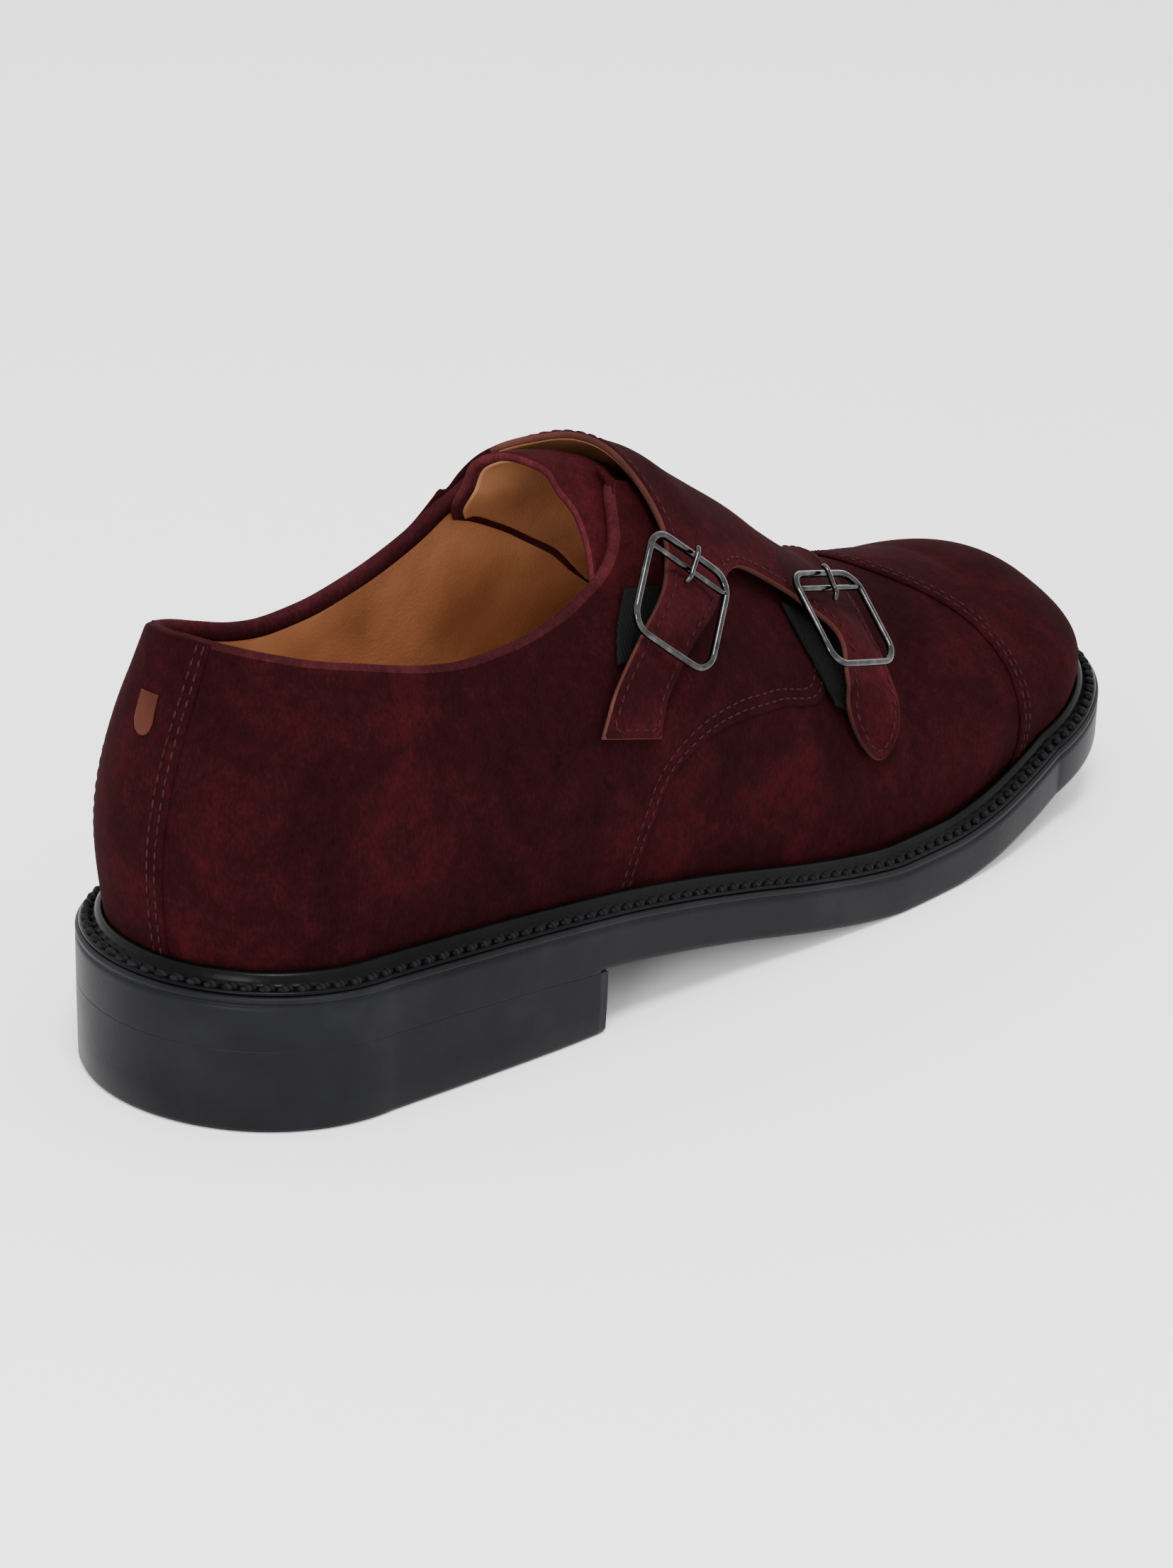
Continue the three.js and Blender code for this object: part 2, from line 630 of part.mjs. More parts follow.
// the frame's origin is under the middle of the outsole's extent
const extent = outsole.boundingBox();
const centre = [0, 1].map((k) => (extent.min[k] + extent.max[k]) / 2);
function piece(name, solid, material) {
  const { vertProperties, triVerts, numProp } = solid.simplify(SMALLEST_EDGE).getMesh();
  const positions = [];
  for (const v of triVerts) {
    const [x, y, z] = vertProperties.subarray(v * numProp, v * numProp + 3);
    positions.push(x - centre[0], y - centre[1], z);
  }
  const geometry = new THREE.BufferGeometry();
  geometry.setAttribute("position", new THREE.Float32BufferAttribute(positions, 3));
  geometry.computeVertexNormals();
  const mesh = new THREE.Mesh(geometry, new THREE.MeshStandardMaterial(materials[material]));
  mesh.name = name;
  group.add(mesh);
}
piece("outsole", outsole, "rubber");
piece("heel", heel, "rubber");
piece("welt", welt, "welt");
piece("insole", insole, "lining");
piece("upper", upper, "suede");
piece("tongue", tongue, "suede");
piece("strap_flap", flapBase.add(rearStrap).add(frontStrap), "suede");
piece("buckle_tab_rear", tabRear, "elastic");
piece("buckle_tab_front", tabFront, "elastic");
piece("buckle_rear", rearBuckle.frame, "nickel");
piece("buckle_front", frontBuckle.frame, "nickel");
piece("prong_rear", rearBuckle.prong, "nickel");
piece("prong_front", frontBuckle.prong, "nickel");

export default group;
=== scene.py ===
"""Looks of a double monk strap shoe, right foot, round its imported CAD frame.

Lengths are in millimetres in "last space": x from heel to toe, y to the medial side, z up.
put() turns them into the frame's metres.
"""
import math

import bmesh
import bpy
import numpy as np
from mathutils import Matrix, Vector
from mathutils.geometry import delaunay_2d_cdt


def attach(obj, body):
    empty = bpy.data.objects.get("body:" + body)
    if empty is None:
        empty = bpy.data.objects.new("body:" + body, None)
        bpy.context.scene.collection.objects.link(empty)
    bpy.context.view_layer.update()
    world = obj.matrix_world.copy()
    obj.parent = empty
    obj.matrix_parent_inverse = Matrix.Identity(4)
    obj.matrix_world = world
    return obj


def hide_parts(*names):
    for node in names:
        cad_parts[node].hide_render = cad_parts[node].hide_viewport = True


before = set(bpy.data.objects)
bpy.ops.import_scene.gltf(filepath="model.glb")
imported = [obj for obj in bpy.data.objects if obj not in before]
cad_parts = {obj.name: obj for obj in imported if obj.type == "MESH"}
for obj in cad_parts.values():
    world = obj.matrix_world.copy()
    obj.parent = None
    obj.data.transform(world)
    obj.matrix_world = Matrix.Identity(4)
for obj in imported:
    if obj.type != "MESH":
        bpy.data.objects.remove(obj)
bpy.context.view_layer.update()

# ---- sizes in mm
ORIGIN = (149.6, -2.12)             # the frame's origin in last space
HEEL_AXIS, TOE_AXIS = 36.0, 250.0   # where the fans round heel and toe turn
HEEL_WRAP, TOE_WRAP = 47.0, 66.0    # lengths given to the two fans
BACK, TIP = HEEL_AXIS - HEEL_WRAP, TOE_AXIS + TOE_WRAP
WELT_OUT = 7.0                      # how far the sole stands out of the feather edge
OUTSOLE = 11.2                      # thickness
HEEL_BREAST = 92.0
LEATHER = 1.1
WALL = 2.4                          # all the upper's layers
TUCK = 0.8                          # how far the upper runs on under the welt
INSOLE_RISE = 0.3                   # from the sole's top to the last's bottom


# ---- curves
def hermite(t, a, b, way_a, way_b):
    """Cubic from a to b over t from 0 to 1, with its directions at both ends."""
    s = 1 - t
    return ((1 + 2 * t) * s * s * a + t * s * s * way_a
            + t * t * (3 - 2 * t) * b - t * t * s * way_b)


def column(xs, ys):
    """Monotone cubic through a table's column."""
    xs, ys = np.array(xs, float), np.array(ys, float)
    h = np.diff(xs)
    d = np.diff(ys) / h
    m = np.zeros(len(xs))
    m[0], m[-1] = d[0], d[-1]
    for i in range(1, len(xs) - 1):
        if d[i - 1] * d[i] > 0:
            a, b = 2 * h[i] + h[i - 1], h[i] + 2 * h[i - 1]
            m[i] = (a + b) / (a / d[i - 1] + b / d[i])

    def at(x):
        x = np.clip(x, xs[0], xs[-1])
        i = np.clip(np.searchsorted(xs, x, side="right") - 1, 0, len(h) - 1)
        return hermite((x - xs[i]) / h[i], ys[i], ys[i + 1], h[i] * m[i], h[i] * m[i + 1])
    return at


def smooth(a, b, x):
    """0 below a, 1 above b."""
    t = np.clip((np.asarray(x, float) - a) / (b - a), 0, 1)
    return t * t * (3 - 2 * t)


SUBSTEPS = 12   # between two given points, before the even steps


def through(points, step=0.9, closed=False):
    """Points at even steps along a smooth line through the given ones."""
    p = np.array(points, float)
    if len(p) == 2:
        n = max(2, int(np.linalg.norm(p[1] - p[0]) / step))
        return p[0] + np.linspace(0, 1, n + 1)[:, None] * (p[1] - p[0])
    if closed:
        p = np.vstack([p[-2:], p, p[:2]])
    else:
        p = np.vstack([2 * p[0] - p[1], p, 2 * p[-1] - p[-2]])
    fine = []
    for a, b, c, d in zip(p, p[1:], p[2:], p[3:]):
        k = [0.0]
        for u, v in ((a, b), (b, c), (c, d)):
            k.append(k[-1] + max(np.linalg.norm(v - u), 1e-6) ** 0.5)
        for t in np.linspace(k[1], k[2], SUBSTEPS, endpoint=False):
            def mix(u, v, i, j):
                return u + (v - u) * ((t - k[i]) / (k[j] - k[i]))
            e, f, g = mix(a, b, 0, 1), mix(b, c, 1, 2), mix(c, d, 2, 3)
            fine.append(mix(mix(e, f, 0, 2), mix(f, g, 1, 3), 1, 2))
    fine.append(p[-2])
    fine = np.array(fine)
    if closed:
        fine = np.vstack([fine[SUBSTEPS:-SUBSTEPS - 1], fine[SUBSTEPS:SUBSTEPS + 1]])
    run = np.r_[0, np.cumsum(np.linalg.norm(np.diff(fine, axis=0), axis=1))]
    n = max(2, int(round(run[-1] / step)))
    want = np.linspace(0, run[-1], n + 1)
    out = np.stack([np.interp(want, run, fine[:, k]) for k in range(fine.shape[1])], axis=1)
    return out[:-1] if closed else out


# ---- the last
FEATHER_X = (36, 60, 85, 110, 135, 160, 190, 215, 235, 250)
FEATHER = {-1: column(FEATHER_X, (31.6, 34.6, 37.2, 38.6, 40.4, 42.8, 44.4, 43.8, 41.4, 38.6)),
           1: column(FEATHER_X, (30.8, 27.6, 24.4, 22.9, 24.6, 30.0, 37.0, 40.2, 39.6, 37.0))}
sole_top = column((0, 40, 75, 95, 115, 135, 155, 172, 186, 204, 220, 240, 262, 282, 300),
                  (29.2, 28.3, 26.8, 25.0, 22.3, 18.9, 15.2, 12.5, 11.2, 11.2, 12.9, 16.6,
                   21.3, 25.2, 27.8))
SECTION_X = (36, 60, 85, 105, 125, 140, 150, 160, 170, 180, 190, 200, 210, 220, 235, 250)
SECTION = {name: column(SECTION_X, values) for name, values in {
    "bulge-1": (33.4, 36.2, 38.8, 39.8, 40.7, 41.8, 42.7, 43.6, 44.4, 45, 45.5, 45.8, 45.8, 45.4,
                43.4, 40.6),
    "bulge1": (32.6, 30, 28, 27.6, 28.6, 30.2, 31.8, 33.6, 35.7, 37.6, 39.3, 40.6, 41.6, 42,
               41.2, 39),
    "bulge_up": (20, 20, 20, 19, 17.7, 17, 16.5, 16, 15.5, 15, 14.5, 14, 13.5, 13, 12.5, 12),
    "shoulder-1": (27.2, 28.6, 30.6, 31.5, 31, 31, 31, 31, 31, 31, 31.2, 31.5, 32.2, 32.5, 32,
                   30.5),
    "shoulder1": (22.8, 23.2, 23.4, 23.2, 22.8, 22.8, 23, 23.6, 24.4, 25.6, 27, 28.4, 29.6,
                  30.5, 30.5, 29.5),
    "shoulder_z": (80, 76, 76, 78, 77, 72, 68.5, 64, 60, 56, 52.5, 49.5, 48.2, 47.5, 46.5, 45.5),
    "ridge_z": (117, 115, 113.5, 112, 109, 104.2, 97.9, 91.9, 85.9, 78.8, 72.2, 66.8, 64.3,
                62.4, 59.8, 57),
}.items()}
BACK_PROFILE = ((28.8, 29.5), (31.0, 56.0), (26.4, 84.0), (0, 117))
TOE_PROFILE = ((42.0, 27.3), (41.4, 36.4), (31.0, 48.2), (0, 57))
PROFILE_POINTS = 121
GIRTH_STEP = 0.75
GIRTH_MAX = 126.0


def profile(corners):
    """Smooth line through a section's corners, level at its end."""
    p = np.array(corners, float)
    d = np.linalg.norm(np.diff(p, axis=0), axis=1)
    way = np.diff(p, axis=0) / d[:, None]
    t = np.zeros_like(p)
    for i in range(1, len(p) - 1):
        t[i] = (way[i - 1] * d[i] + way[i] * d[i - 1]) / (d[i] + d[i - 1])
    t[0] = way[0] * 1.5 - t[1] * 0.5
    t[-1] = (-1, 0)
    run = np.r_[0, np.cumsum(d)]
    q = np.linspace(0, run[-1], PROFILE_POINTS)
    i = np.clip(np.searchsorted(run, q, side="right") - 1, 0, len(d) - 1)
    h = d[i][:, None]
    return hermite((q - run[i])[:, None] / h, p[i], p[i + 1], h * t[i], h * t[i + 1])


def half_section(q, side):
    """One side's section at station q, from the ridge to the feather edge."""
    x = float(np.clip(q, HEEL_AXIS, TOE_AXIS))
    foot = sole_top(x) + INSOLE_RISE
    corners = [(FEATHER[side](x), foot),
               (SECTION[f"bulge{side}"](x), foot + SECTION["bulge_up"](x)),
               (SECTION[f"shoulder{side}"](x), SECTION["shoulder_z"](x)),
               (0, SECTION["ridge_z"](x))]
    if HEEL_AXIS <= q <= TOE_AXIS:
        line = profile(corners)[::-1]
        return np.stack([np.full(len(line), x), side * line[:, 0], line[:, 1]], axis=1)
    end = -1 if q < HEEL_AXIS else 1
    rows, power, wrap = ((BACK_PROFILE, 2.0, HEEL_WRAP) if end < 0
                         else (TOE_PROFILE, 1.95, TOE_WRAP))
    turn = abs(q - x) / wrap * math.pi / 2
    ca, sa = math.cos(turn), math.sin(turn)
    turned, settle = [], 0
    for k, ((reach, z), (end_reach, end_z)) in enumerate(zip(corners, rows)):
        if reach < 1e-6:
            turned.append((0, z))
            continue
        r = ((ca / reach) ** power + (sa / end_reach) ** power) ** (-1 / power)
        height = z * ca * ca + end_z * sa * sa
        if k == 0:
            settle = sole_top(x + end * sa * r) + INSOLE_RISE - height
        turned.append((r, height + (settle if k < 2 else 0)))
    line = profile(turned)[::-1]
    return np.stack([x + end * sa * line[:, 0], side * ca * line[:, 0], line[:, 1]], axis=1)


def stations(heel, step, toe):
    """Stations from the back seam to the tip: numbers round heel and toe, a step between."""
    return np.r_[np.linspace(BACK, HEEL_AXIS, heel)[:-1], np.arange(HEEL_AXIS, TOE_AXIS, step),
                 np.linspace(TOE_AXIS, TIP, toe)]


STATIONS = stations(40, 1.5, 48)
GIRTHS = np.arange(0, GIRTH_MAX + GIRTH_STEP, GIRTH_STEP)


def last_table(side):
    """Points of one side over STATIONS and GIRTHS, and each station's own length.

    Past the feather edge a row goes straight on.
    """
    points, lengths = [], []
    for q in STATIONS:
        line = half_section(q, side)
        run = np.r_[0, np.cumsum(np.linalg.norm(np.diff(line, axis=0), axis=1))]
        row = np.stack([np.interp(GIRTHS, run, line[:, k]) for k in range(3)], axis=1)
        past = np.clip(GIRTHS - run[-1], 0, None)[:, None]
        way = line[-1] - line[-3]
        points.append(row + past * way / np.linalg.norm(way))
        lengths.append(run[-1])
    return np.array(points), np.array(lengths)


LAST = {side: last_table(side) for side in (-1, 1)}


def on_last(q, y):
    """Points on the last at station q and girth y from the ridge, lateral negative."""
    q, y = np.atleast_1d(np.asarray(q, float)), np.atleast_1d(np.asarray(y, float))
    q, y = np.broadcast_arrays(q, y)
    qc = np.clip(q, BACK, TIP)
    i = np.clip(np.searchsorted(STATIONS, qc, side="right") - 1, 0, len(STATIONS) - 2)
    a = ((qc - STATIONS[i]) / (STATIONS[i + 1] - STATIONS[i]))[:, None]
    g = np.clip(np.abs(y) / GIRTH_STEP, 0, len(GIRTHS) - 1.001)
    j = g.astype(int)
    b = (g - j)[:, None]
    out = np.zeros((len(q), 3))
    for side in (-1, 1):
        t = LAST[side][0]
        pick = (y < 0) if side < 0 else (y >= 0)
        here = ((t[i, j] * (1 - b) + t[i, j + 1] * b) * (1 - a)
                + (t[i + 1, j] * (1 - b) + t[i + 1, j + 1] * b) * a)
        out[pick] = here[pick]
    return out


def foot_girth(q, side):
    """Girth from the ridge to the feather edge at station q."""
    return np.interp(q, STATIONS, LAST[side][1])


def tucked(q, side):
    """Signed girth of station q's feather edge, and on under the welt."""
    return side * (float(foot_girth(q, side)) + TUCK)


def station_line(q, side):
    """Station q's points, one for each girth."""
    return on_last(np.full(len(GIRTHS), q), side * (GIRTHS + 1e-6))


def girth_at(q, side, z):
    """Girth at which station q is at height z."""
    return float(np.interp(-z, -station_line(q, side)[:, 2], GIRTHS))


# Charts turn flat pattern coordinates into points on the last. The sides' chart is on_last.
def chart_toe(u, v):
    """Flat over the forepart, and unrolled round the toe's turning point."""
    u, v = np.asarray(u, float), np.asarray(v, float)
    ahead = np.clip(u - TOE_AXIS, 0, None)
    r = np.hypot(ahead, v)
    turn = np.arctan2(ahead, np.abs(v) + 1e-9) * (u > TOE_AXIS)
    q = np.where(u > TOE_AXIS, TOE_AXIS + turn / (math.pi / 2) * TOE_WRAP, u)
    y = np.where(u > TOE_AXIS, np.where(v < 0, -r, r), v)
    return on_last(q, y)


def chart_heel(u, v):
    """u round the heel from the back seam, lateral negative, v down from the ridge."""
    u, v = np.asarray(u, float), np.asarray(v, float)
    return on_last(BACK + np.abs(u), np.where(u < 0, -v, v))


def normals_of(chart, u, v, e=0.7):
    """Outward directions, from points e to each side."""
    u, v = np.asarray(u, float), np.asarray(v, float)
    n = np.cross(chart(u + e, v) - chart(u - e, v), chart(u, v + e) - chart(u, v - e))
    return n / (np.linalg.norm(n, axis=1)[:, None] + 1e-12)


# ---- mesh helpers
def put(points):
    """Last space in mm to the frame in metres."""
    p = np.array(points, float)
    p[..., 0] -= ORIGIN[0]
    p[..., 1] -= ORIGIN[1]
    return p / 1000


def object_of(name, verts, faces, materials, indices=None):
    """A smooth-shaded piece from points in last space."""
    mesh = bpy.data.meshes.new(name)
    mesh.from_pydata([tuple(v) for v in put(verts)], [], [tuple(int(i) for i in f) for f in faces])
    for m in materials:
        mesh.materials.append(m)
    if indices is not None:
        mesh.polygons.foreach_set("material_index", np.array(indices, np.int32))
    mesh.polygons.foreach_set("use_smooth", [True] * len(mesh.polygons))
    mesh.update()
    made = bpy.data.objects.new(name, mesh)
    bpy.context.scene.collection.objects.link(made)
    return made


def to_outline(points, outline):
    """Distance from points to a closed outline, and whether each is inside."""
    a, b = outline, np.roll(outline, -1, axis=0)
    best = np.full(len(points), 1e9)
    inside = np.zeros(len(points), bool)
    ab = b - a
    length2 = (ab ** 2).sum(1) + 1e-12
    for start in range(0, len(points), 2000):   # a few at a time, to spare memory
        some = slice(start, start + 2000)
        p = points[some, None]
        ap = p - a
        t = np.clip((ap * ab).sum(2) / length2, 0, 1)
        best[some] = np.sqrt(((ap - t[..., None] * ab) ** 2).sum(2)).min(1)
        cross = (a[:, 1] > p[..., 1]) != (b[:, 1] > p[..., 1])
        at = a[:, 0] + (p[..., 1] - a[:, 1]) * ab[:, 0] / (ab[:, 1] + 1e-12)
        inside[some] = (cross & (p[..., 0] < at)).sum(1) % 2 == 1
    return best, inside


def inset(outline, distance):
    """A closed outline moved inwards."""
    a, b = np.roll(outline, 1, axis=0), np.roll(outline, -1, axis=0)
    area = (outline[:, 0] * b[:, 1] - b[:, 0] * outline[:, 1]).sum()
    t = b - a
    n = np.stack([-t[:, 1], t[:, 0]], axis=1) * (1 if area > 0 else -1)
    return outline + n / (np.linalg.norm(n, axis=1)[:, None] + 1e-12) * distance


def beside(line, distance):
    """A line moved sideways, to the left of its direction."""
    p = np.array(line, float)
    t = np.gradient(p, axis=0)
    n = np.stack([-t[:, 1], t[:, 0]], axis=1)
    return p + n / np.linalg.norm(n, axis=1)[:, None] * distance


def flat_mesh(outline, spacing, rings):
    """Triangles over an outline, with rings of points along its edge."""
    lo, hi = outline.min(0), outline.max(0)
    gx, gy = np.meshgrid(np.arange(lo[0], hi[0], spacing),
                         np.arange(lo[1], hi[1], spacing * 0.87))
    gx = gx + (np.arange(gx.shape[0]) % 2 * spacing / 2)[:, None]
    grid = np.stack([gx.ravel(), gy.ravel()], axis=1)
    ringed = np.vstack([inset(outline, r) for r in rings])
    d, inside = to_outline(ringed, outline)
    near = np.repeat(rings, len(outline))
    ringed = ringed[inside & (d > near * 0.8)]
    d, inside = to_outline(grid, outline)
    grid = grid[inside & (d > rings[-1] + spacing * 0.45)]
    points = np.vstack([outline, ringed, grid])
    n = len(outline)
    edges = [(i, (i + 1) % n) for i in range(n)]
    made = delaunay_2d_cdt([Vector(p) for p in points], edges, [], 1, 1e-4)
    flat = np.array([tuple(v) for v in made[0]])
    tris = np.array([f for f in made[2] if len(f) == 3])
    a, b, c = flat[tris[:, 0]], flat[tris[:, 1]], flat[tris[:, 2]]
    turned = ((b - a)[:, 0] * (c - a)[:, 1] - (b - a)[:, 1] * (c - a)[:, 0]) < 0
    tris[turned] = tris[turned][:, ::-1]
    used = np.unique(tris)
    remap = np.full(len(flat), -1)
    remap[used] = np.arange(len(used))
    return flat[used], remap[tris]


TURN_IN = 3.0   # how much of the outer face shows inside a turned edge


def leather(name, outline, chart, lift, thick, materials, spacing=1.5, round_over=0.8,
            wall=0.3, rings=(0.35, 0.9), cut=None, painted_light=None):
    """A cut piece laid on the last: lift and thickness may vary over the pattern.

    materials are the outer face, the cut edge and the inner face. wall is the share of
    the thickness that stays upright at the edge. cut(v) tells where the edge is left cut;
    elsewhere it is turned and shows the outer face. painted_light(v) is painted light, 0 to 1,
    how much lighter the suede is drawn there, kept as a point attribute that the suede reads.
    """
    outline = np.array(outline, float)
    flat, tris = flat_mesh(outline, spacing, rings)
    d, _ = to_outline(flat, outline)
    base = chart(flat[:, 0], flat[:, 1])
    out = normals_of(chart, flat[:, 0], flat[:, 1])
    low, t = (rule(flat[:, 0], flat[:, 1]) if callable(rule) else np.full(len(flat), float(rule))
              for rule in (lift, thick))
    s = np.clip(d / round_over, 0, 1)
    swell = wall + (1 - wall) * np.sqrt(1 - (1 - s) ** 2)
    upper = base + out * (low + t * (0.5 + 0.5 * swell))[:, None]
    lower = base + out * (low + t * (0.5 - 0.5 * swell))[:, None]
    n = len(flat)
    sides = {(int(a), int(b)): None for tri in tris for a, b in zip(tri, np.roll(tri, -1))}
    rim = [(a, b) for a, b in sides if (b, a) not in sides]
    faces = [tuple(f) for f in tris] + [tuple(f[::-1] + n) for f in tris]
    is_cut = np.full(len(flat), True) if cut is None else cut(flat[:, 1])
    band = (d[tris].mean(1) < rings[0] * 0.8) & is_cut[tris].all(1)
    turned = (d[tris].mean(1) < TURN_IN) & ~is_cut[tris].all(1)
    kinds = [int(edge) for edge in band] + [
        1 if edge else 0 if fold else 2 for edge, fold in zip(band, turned)]
    for a, b in rim:
        faces.append((b, a, a + n, b + n))
        kinds.append(1 if is_cut[a] and is_cut[b] else 0)
    made = object_of(name, np.vstack([upper, lower]), faces, materials, kinds)
    if painted_light is not None:
        light_attribute = made.data.attributes.new("painted_light", "FLOAT", "POINT")
        light_attribute.data.foreach_set("value", np.tile(painted_light(flat[:, 1]), 2))
    return made


def sweep(name, rings, material, closed=True, caps=False):
    """Surface through equal rings of points; each ring is closed on itself."""
    rings = np.array(rings, float)
    n, m, _ = rings.shape
    faces = []
    for i in range(n if closed else n - 1):
        k = (i + 1) % n
        for j in range(m):
            l = (j + 1) % m
            faces.append((i * m + j, k * m + j, k * m + l, i * m + l))
    if caps and not closed:
        faces.append(tuple(range(m)))
        faces.append(tuple((n - 1) * m + j for j in reversed(range(m))))
    made = object_of(name, rings.reshape(-1, 3), faces, [material])
    recalculate(made)
    return made


def recalculate(made):
    """Doubles merged and faces turned outwards on a closed piece."""
    bm = bmesh.new()
    bm.from_mesh(made.data)
    bmesh.ops.remove_doubles(bm, verts=bm.verts, dist=1e-6)
    bmesh.ops.recalc_face_normals(bm, faces=bm.faces)
    if bm.calc_volume(signed=True) < 0:
        bmesh.ops.reverse_faces(bm, faces=bm.faces)
    bm.to_mesh(made.data)
    bm.free()


def tube(path, radius, sides=14, closed=False, ends=True):
    """Rings of a round wire along a path, with rounded ends."""
    p = np.array(path, float)
    n = len(p)
    if closed:
        t = np.roll(p, -1, axis=0) - np.roll(p, 1, axis=0)
    else:
        t = np.gradient(p, axis=0)
    t /= np.linalg.norm(t, axis=1)[:, None]
    ref = np.array((0.0, 0.0, 1.0)) if abs(t[0][2]) < 0.9 else np.array((1.0, 0.0, 0.0))
    side = np.cross(t[0], ref)
    side /= np.linalg.norm(side)
    rings, sideways = [], []
    for i in range(n):
        side = side - t[i] * side.dot(t[i])
        side /= np.linalg.norm(side)
        sideways.append(side.copy())
    if closed:   # spread the frame's leftover twist evenly
        last = sideways[-1] - t[0] * sideways[-1].dot(t[0])
        last /= np.linalg.norm(last)
        twist = math.atan2(np.cross(last, sideways[0]).dot(t[0]), last.dot(sideways[0]))
    angle = np.linspace(0, 2 * math.pi, sides, endpoint=False)
    for i in range(n):
        a = angle + (twist * i / n if closed else 0)
        s = sideways[i]
        u = np.cross(t[i], s)
        rings.append(p[i] + radius * (np.cos(a)[:, None] * s + np.sin(a)[:, None] * u))
    if not closed and ends:
        def dome(i, sign):
            made = []
            for k in (0.35, 0.7, 0.92):
                r = math.sqrt(1 - k * k)
                made.append(p[i] + (rings[i] - p[i]) * r + sign * t[i] * radius * k)
            return made
        rings = dome(0, -1)[::-1] + rings + dome(n - 1, 1)
    return np.array(rings)


def join(name, parts):
    """Several pieces as one object, in the order given."""
    with bpy.context.temp_override(active_object=parts[0], selected_editable_objects=parts):
        bpy.ops.object.join()
    parts[0].name = name
    parts[0].data.name = name
    return parts[0]


# ---- materials
def colour(code):
    """sRGB hex value as linear RGBA."""
    c = [int(code[k:k + 2], 16) / 255 for k in (1, 3, 5)]
    return (*[v / 12.92 if v <= 0.04045 else ((v + 0.055) / 1.055) ** 2.4 for v in c], 1.0)


def add(tree, kind, inputs=(), stops=(), **settings):
    """Adds a node; inputs pair a socket with a value or with another node's output."""
    node = tree.nodes.new(kind)
    for key, value in settings.items():
        setattr(node, key, value)
    for key, value in dict(inputs).items():
        if isinstance(value, bpy.types.NodeSocket):
            tree.links.new(value, node.inputs[key])
        else:
            node.inputs[key].default_value = value
    if stops:
        ramp = node.color_ramp
        while len(ramp.elements) < len(stops):
            ramp.elements.new(0.5)
        for element, (place, code) in zip(ramp.elements, stops):
            element.position = place
            element.color = colour(code)
    return node


def shader(name, **sockets):
    """A material with its own Principled node, and its Object coordinates."""
    made = bpy.data.materials.new(name)
    made.use_nodes = True
    tree = made.node_tree
    tree.nodes.clear()
    skin = add(tree, "ShaderNodeBsdfPrincipled",
               {key.replace("_", " "): value for key, value in sockets.items()})
    add(tree, "ShaderNodeOutputMaterial", {"Surface": skin.outputs[0]})
    return made, tree, skin, add(tree, "ShaderNodeTexCoord").outputs["Object"]


PAINTED_LIGHT_GAIN = 2.3   # how much lighter the suede is drawn where its painted light is full


def suede_of(name, stops, nap=0.3):
    """Split calf napped: dead matt, pale where the nap lies the other way,
    and a faint glow where it is seen along the fibres."""
    made, tree, skin, place = shader(name, Roughness=0.96, Sheen_Weight=0.015,
                                     Sheen_Roughness=0.5, Sheen_Tint=colour("#b04a58"),
                                     Specular_IOR_Level=0.02)
    # patches of nap, a thumb's width
    patch = add(tree, "ShaderNodeTexNoise",
                {"Vector": place, "Scale": 42, "Detail": 3.0, "Roughness": 0.55,
                 "Distortion": 0.6})
    # clumps of fibres, 3 mm
    clump = add(tree, "ShaderNodeTexNoise",
                {"Vector": place, "Scale": 330, "Detail": 3.0, "Roughness": 0.6})
    # fibres lie down the shoe; real ones are 0.1 mm, drawn at 0.6 mm so that they show
    laid = add(tree, "ShaderNodeMapping", {"Vector": place, "Scale": (1, 1, 0.45)})
    fibre = add(tree, "ShaderNodeTexNoise",
                {"Vector": laid.outputs[0], "Scale": 1700, "Detail": 2.0, "Roughness": 0.7})
    both = add(tree, "ShaderNodeMix",
               {0: 0.35, 2: patch.outputs["Fac"], 3: clump.outputs["Fac"]})
    three = add(tree, "ShaderNodeMix", {0: 0.3, 2: both.outputs[0], 3: fibre.outputs["Fac"]})
    ramp = add(tree, "ShaderNodeValToRGB", {"Fac": three.outputs[0]}, stops=stops)
    # painted light: the colour is scaled up by the painted_light attribute, lighter and redder
    # where the frames shade the straps and over the tongue
    light_share = add(tree, "ShaderNodeAttribute", attribute_name="painted_light")
    gain = add(tree, "ShaderNodeMapRange",
               {"Value": light_share.outputs["Fac"], "To Min": 1.0, "To Max": PAINTED_LIGHT_GAIN})
    lifted = add(tree, "ShaderNodeVectorMath",
                 {0: ramp.outputs["Color"], "Scale": gain.outputs[0]}, operation="SCALE")
    tree.links.new(lifted.outputs[0], skin.inputs["Base Color"])
    soft = add(tree, "ShaderNodeBump",
               {"Height": patch.outputs["Fac"], "Strength": 0.35, "Distance": 0.0012})
    fine = add(tree, "ShaderNodeBump",
               {"Height": three.outputs[0], "Strength": nap, "Distance": 0.0006,
                "Normal": soft.outputs[0]})
    tree.links.new(fine.outputs[0], skin.inputs["Normal"])
    return made


SUEDE = suede_of("calf_suede_burgundy_brushed",
                 ((0.32, "#0f0304"), (0.5, "#1b0608"), (0.68, "#2d0a0d")))
# a lighter copy of the same suede: painted light, for the collar rim and the tongue's edge and
# inner face, drawn as if lit
SUEDE_PAINTED_LIT = suede_of("calf_suede_burgundy_painted_lit",
                       ((0.32, "#19080a"), (0.5, "#290e11"), (0.68, "#3d161a")))


